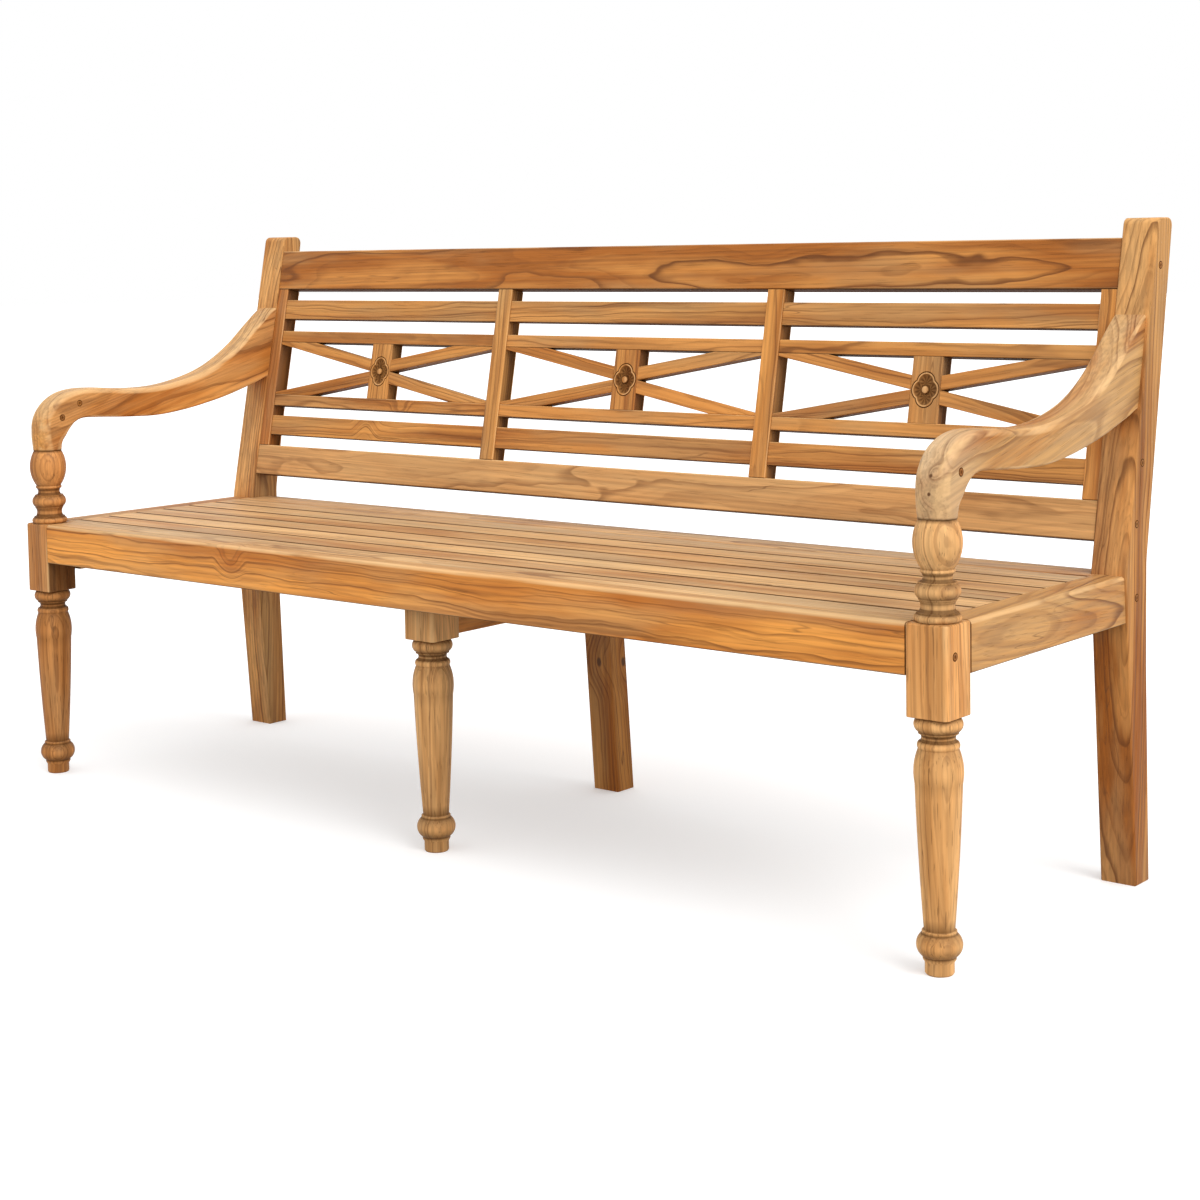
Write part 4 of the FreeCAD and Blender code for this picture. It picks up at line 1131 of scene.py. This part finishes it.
def carving(x, z):
    """Depth of the carving below the face of the block, its painted shade and dirt there, and its wear and
    painted highlight.
    """
    lobes = []
    for side in (-1, 1):
        lobes.append((side * rosette_lobe_across, 0.0, rosette_side_radius))
        lobes.append((0.0, side * rosette_lobe_up, rosette_end_radius))
    edge, lobe = min((math.hypot(x - a, z - b) - radius, (a, b)) for a, b, radius in lobes)
    from_centre = math.hypot(x, z)
    if edge > rosette_rim:
        # The cut groove is painted almost black, as shade.
        share = abs(edge - rosette_rim - rosette_groove / 2) / (rosette_groove / 2)
        cut = max(0.0, 1 - share)
        return groove_depth * eased(cut, 0.0, 0.8), 0.95 * eased(cut, 0.0, 0.5), 0.0
    if edge > 0:
        crest = math.sin(edge / rosette_rim * math.pi)
        return -0.25 * MM * crest, 0.0, 1.6 * crest
    angle = math.atan2(z - lobe[1], x - lobe[0]) - math.atan2(lobe[1], lobe[0])
    vein = math.cos(9 * angle) * eased(-edge, 0.5 * MM, 3 * MM)
    bowl = eased(-edge, 0.0, 5 * MM)
    depth = petal_depth * (0.45 + 0.55 * bowl) * eased(-edge, 0.0, 1.2 * MM) + vein * vein_depth
    dirt = 0.62 + 0.12 * bowl - 0.14 * vein
    if from_centre < boss_radius:
        dome = boss_height * math.sqrt(1 - (from_centre / boss_radius) ** 2)
        skirt = eased(from_centre, 0.75 * boss_radius, boss_radius)
        return 0.4 * MM - dome, 0.6 * skirt, 1.2 * (1 - skirt)
    ring = 1 - eased(from_centre, boss_radius, boss_radius + 1.5 * MM)
    return depth + 0.4 * MM * ring, min(0.95, dirt * eased(-edge, 0.0, 0.6 * MM) + 0.25 * ring), 0.0


def rim_drop(offset, half):
    """How far an eased edge falls away from the face, at an offset from the middle."""
    over = max(0.0, abs(offset) - (half - upright_ease))
    return upright_ease - math.sqrt(max(0.0, upright_ease ** 2 - over ** 2))


def carved_block():
    tall = open_high - open_low
    across = [-block_edge + upright_ease * share for share in (0.0, 0.1, 0.3, 0.6)]
    flat = block_width - 2 * upright_ease
    inner = round(flat / carving_pitch)
    across += [-block_edge + upright_ease + flat * step / inner for step in range(inner + 1)]
    across += [-value for value in across[3::-1]]
    rows = round(tall / carving_pitch)
    heights = [-tall / 2 + tall * step / rows for step in range(rows + 1)]
    points = []
    dirt = []
    wear = []
    for z in heights:
        for x in across:
            depth, amount, rubbed_highlight = carving(x, z)
            points.append(Vector((x, panel_recess + depth + rim_drop(x, block_edge), cross_middle + z)))
            dirt.append(amount)
            wear.append(rubbed_highlight)
    count = len(across)
    faces = []
    for row in range(rows):
        for index in range(count - 1):
            low = row * count + index
            faces.append([low, low + 1, low + count + 1, low + count])
    rim = list(range(count)) + [row * count + count - 1 for row in range(1, rows + 1)]
    rim += [rows * count + index for index in range(count - 2, -1, -1)]
    rim += [row * count for row in range(rows - 1, 0, -1)]
    first = len(points)
    # The sides of the block get the same painted shade as the uprights.
    depths = (shade_front, cross_thickness - shade_depth, cross_thickness)
    for depth in depths:
        for index in rim:
            points.append(Vector((points[index].x, panel_recess + depth, points[index].z)))
            dirt.append(inner_shade(depth, cross_thickness))
            wear.append(0.0)
    loops = [rim]
    for number in range(len(depths)):
        loops.append([first + number * len(rim) + step for step in range(len(rim))])
    for near, far in zip(loops, loops[1:]):
        for step in range(len(rim)):
            after = (step + 1) % len(rim)
            faces.append([near[step], near[after], far[after], far[step]])
    faces.append(loops[-1])
    return {"points": points, "faces": faces, "dirt": dirt, "wear": wear}


laid_boards(
    "carved_blocks", [timber(carved_block(), (0, 0, 1), (0.0, 0.1, 0.1))], "back_panels",
    ["panel_%s_block" % bay for bay in bays],
    rows=1, row_pitch=(0.0, 0.0, 0.0), tone_low=(-0.1, 0.0, 0.0), tone_high=(0.1, 0.2, 0.1),
    seed=5, **bay_row,
)


# Plugs: round teak pegs glued over the screws and cut off almost flush, with their end grain showing and a
# dark line of glue round them.
plug_teak = teak("plug_teak", ring_spacing=0.0016, ring_strength=0.7, heart_share=0.65, pores=0.5)
plug_radius = 5 * MM
plug_stand = 0.35 * MM
plug_length = 6 * MM
plug_outline = [
    (plug_radius * 1.12, -plug_length, 0.95), (plug_radius * 1.12, 0.1 * MM, 0.95),
    (plug_radius * 1.06, 0.2 * MM, 0.95), (plug_radius * 0.92, 0.15 * MM, 0.95),
    (plug_radius * 0.82, plug_stand * 0.9, 0.35), (plug_radius * 0.55, plug_stand, 0.3),
    (plug_radius * 0.4, plug_stand * 0.6, 0.75), (plug_radius * 0.1, plug_stand * 0.5, 0.8),
]
plug_sides = 28
plug_loops = [circle(radius, rise, plug_sides) for radius, rise, amount in plug_outline]
plug_dirt = [amount for radius, rise, amount in plug_outline]
plug = timber(bridged(plug_loops, plug_dirt), (0, 0, 1), (0.2, 0.1, 0.0))


def plugs_on_points():
    """Sets a plug on every point, turned to the direction that the point holds."""
    tree, given = laying_group("plugs_on_points", (
        ("Geometry", "Geometry"), ("Plug", "Object"), ("Seed", "Int"), ("Material", "Material")))
    facing = add(tree, "GeometryNodeInputNamedAttribute", {"Name": "facing"},
                 data_type="FLOAT_VECTOR").outputs[0]
    turn = add(tree, "FunctionNodeAlignRotationToVector", {"Vector": facing}, axis="Z").outputs[0]
    shape = add(tree, "GeometryNodeObjectInfo", {"Object": given["Plug"]}).outputs["Geometry"]
    points = add(tree, "GeometryNodeMeshToPoints", {"Mesh": given["Geometry"]}).outputs[0]
    set_in = add(tree, "GeometryNodeInstanceOnPoints",
                 {"Points": points, "Instance": shape, "Rotation": turn}).outputs[0]
    end_laying(tree, given, set_in, {"board_shift": ((0, -0.02, -0.02), (9, 0.02, 0.02))})
    return tree


plug_places = [((post_high.x, post_seat_front + post_seat_depth / 2, (rail_under_z + seat_z) / 2), (1, 0, 0))]
for rise in ((bottom_rail_low + bottom_rail_top) / 2, lower_slat_low + slat_height,
             (top_rail_low + top_rail_top) / 2):
    middle = lean @ Vector((0, back_thickness / 2, rise))
    plug_places.append(((post_high.x, middle.y, middle.z), (1, 0, 0)))
block_plug_rise = 26 * MM
block_plug_y = front_y + 2 * block_half / 3
plug_places.append(((half_length, block_plug_y, rail_under_z + block_plug_rise), (1, 0, 0)))
arm_plug_y = corner_leg_y + arm_width / 3
arm_plug_rise = 55 * MM
arm_plug_z = arm_foot_z + arm_plug_rise
for side in (1, -1):
    plug_places.append(((corner_leg_x + side * arm_width / 2, arm_plug_y, arm_plug_z), (side, 0, 0)))
inner_plug_back = 37 * MM
inner_plug_rise = 22 * MM
inner_plug_sink = 0.9 * MM
inner_plug_x = corner_leg_x - arm_width / 2 + inner_plug_sink
plug_places.append(((inner_plug_x, arm_plug_y + inner_plug_back, arm_plug_z + inner_plug_rise), (-1, 0, 0)))
plug_places += [((-x, y, z), (-facing[0], 0, 0)) for (x, y, z), facing in plug_places]
plug_mesh = bpy.data.meshes.new("joint_plugs_set")
plug_mesh.from_pydata([place for place, facing in plug_places], [], [])
facing_values = plug_mesh.attributes.new("facing", "FLOAT_VECTOR", "POINT")
plug_directions = [float(number) for place, facing in plug_places for number in facing]
facing_values.data.foreach_set("vector", plug_directions)
plug_pattern = bpy.data.objects.new("plug_pattern", mesh_of("plug_pattern", [plug]))
plug_set = placed("glued_plugs", plug_mesh)
lay(plug_set, plugs_on_points(), {"Plug": plug_pattern, "Seed": 3, "Material": plug_teak})
settled(plug_set, ["joint_plugs"])
bpy.data.objects.remove(plug_pattern)


# Studio: a white floor that runs out of sight under an even white sky, and one broad soft light from above
# on the right. None of it belongs to the bench.
floor_half = 30.0
floor_mesh = bpy.data.meshes.new("studio_floor")
floor_corners = [(-floor_half, -floor_half, 0), (floor_half, -floor_half, 0), (floor_half, floor_half, 0),
                 (-floor_half, floor_half, 0)]
floor_mesh.from_pydata(floor_corners, [], [[0, 1, 2, 3]])
floor = placed("studio_floor", floor_mesh)
floor_paint = bpy.data.materials.new("floor_paint")
floor_paint.use_nodes = True
paint = floor_paint.node_tree
paint.nodes.clear()


def seen_directly(tree):
    """1 for rays from the camera and for mirror and glass rays, 0 for the light that lands on surfaces."""
    path = add(tree, "ShaderNodeLightPath").outputs
    seen = path["Is Camera Ray"]
    for label in ("Is Glossy Ray", "Is Transmission Ray"):
        seen = add(tree, "ShaderNodeMath", {0: seen, 1: path[label]}, operation="MAXIMUM").outputs[0]
    return seen


floor_grey = (0.4, 0.4, 0.4, 1)
floor_white = (0.75, 0.75, 0.75, 1)
floor_glow = 0.33
grey_floor = add(paint, "ShaderNodeBsdfDiffuse", {"Color": floor_grey}).outputs[0]
white_floor = add(paint, "ShaderNodeBsdfDiffuse", {"Color": floor_white}).outputs[0]
glow = add(paint, "ShaderNodeEmission", {"Color": (1, 1, 1, 1), "Strength": floor_glow}).outputs[0]
white_floor = add(paint, "ShaderNodeAddShader", {0: white_floor, 1: glow}).outputs[0]
laid_floor = add(paint, "ShaderNodeMixShader",
                 {0: seen_directly(paint), 1: grey_floor, 2: white_floor}).outputs[0]
add(paint, "ShaderNodeOutputMaterial", {"Surface": laid_floor})
floor_mesh.materials.append(floor_paint)

world = bpy.data.worlds.new("studio_sky")
bpy.context.scene.world = world
world.use_nodes = True
sky = world.node_tree
sky.nodes.clear()
sky_strength = 1.1
backdrop_strength = 1.0
lighting = add(sky, "ShaderNodeBackground", {"Color": (1, 1, 1, 1), "Strength": sky_strength}).outputs[0]
backdrop = add(sky, "ShaderNodeBackground", {"Color": (1, 1, 1, 1), "Strength": backdrop_strength}).outputs[0]
shown = add(sky, "ShaderNodeMixShader", {0: seen_directly(sky), 1: lighting, 2: backdrop}).outputs[0]
add(sky, "ShaderNodeOutputWorld", {"Surface": shown})

sun_direction = Vector((-0.75, 0.16, -0.64))
sun_data = bpy.data.lights.new("soft_sun", "SUN")
sun_data.energy = 1.75
sun_data.angle = math.radians(40)
sun = placed("soft_sun", sun_data)
sun.rotation_mode = "QUATERNION"
sun.rotation_quaternion = sun_direction.to_track_quat("-Z", "Y")


# Camera: stands to the right in front of the bench, a little above the arms, and its frame is shifted down.
camera_place = Vector((2.20562, front_y - 2.21111, 0.88473))
camera_yaw = math.radians(39.6136)
camera_pitch = math.radians(4.1741)
camera_roll = math.radians(0.9479)
camera_focus_pixels = 2174.21
picture_pixels = 1200
axis_pixel_y = 405.24
forward = Vector((-math.sin(camera_yaw) * math.cos(camera_pitch),
                  math.cos(camera_yaw) * math.cos(camera_pitch),
                  -math.sin(camera_pitch)))
level_right = Vector((math.cos(camera_yaw), math.sin(camera_yaw), 0))
level_down = forward.cross(level_right)
right = level_right * math.cos(camera_roll) + level_down * math.sin(camera_roll)
down = level_down * math.cos(camera_roll) - level_right * math.sin(camera_roll)
camera_data = bpy.data.cameras.new("camera")
camera_data.sensor_width = 36.0
camera_data.lens = camera_focus_pixels / picture_pixels * camera_data.sensor_width
camera_data.shift_y = (axis_pixel_y - picture_pixels / 2) / picture_pixels
camera = placed("camera", camera_data)
camera_turn = Matrix((right, -down, -forward)).transposed().to_4x4()
camera.matrix_world = Matrix.Translation(camera_place) @ camera_turn
bpy.context.scene.camera = camera
bpy.context.scene.view_settings.view_transform = "Standard"
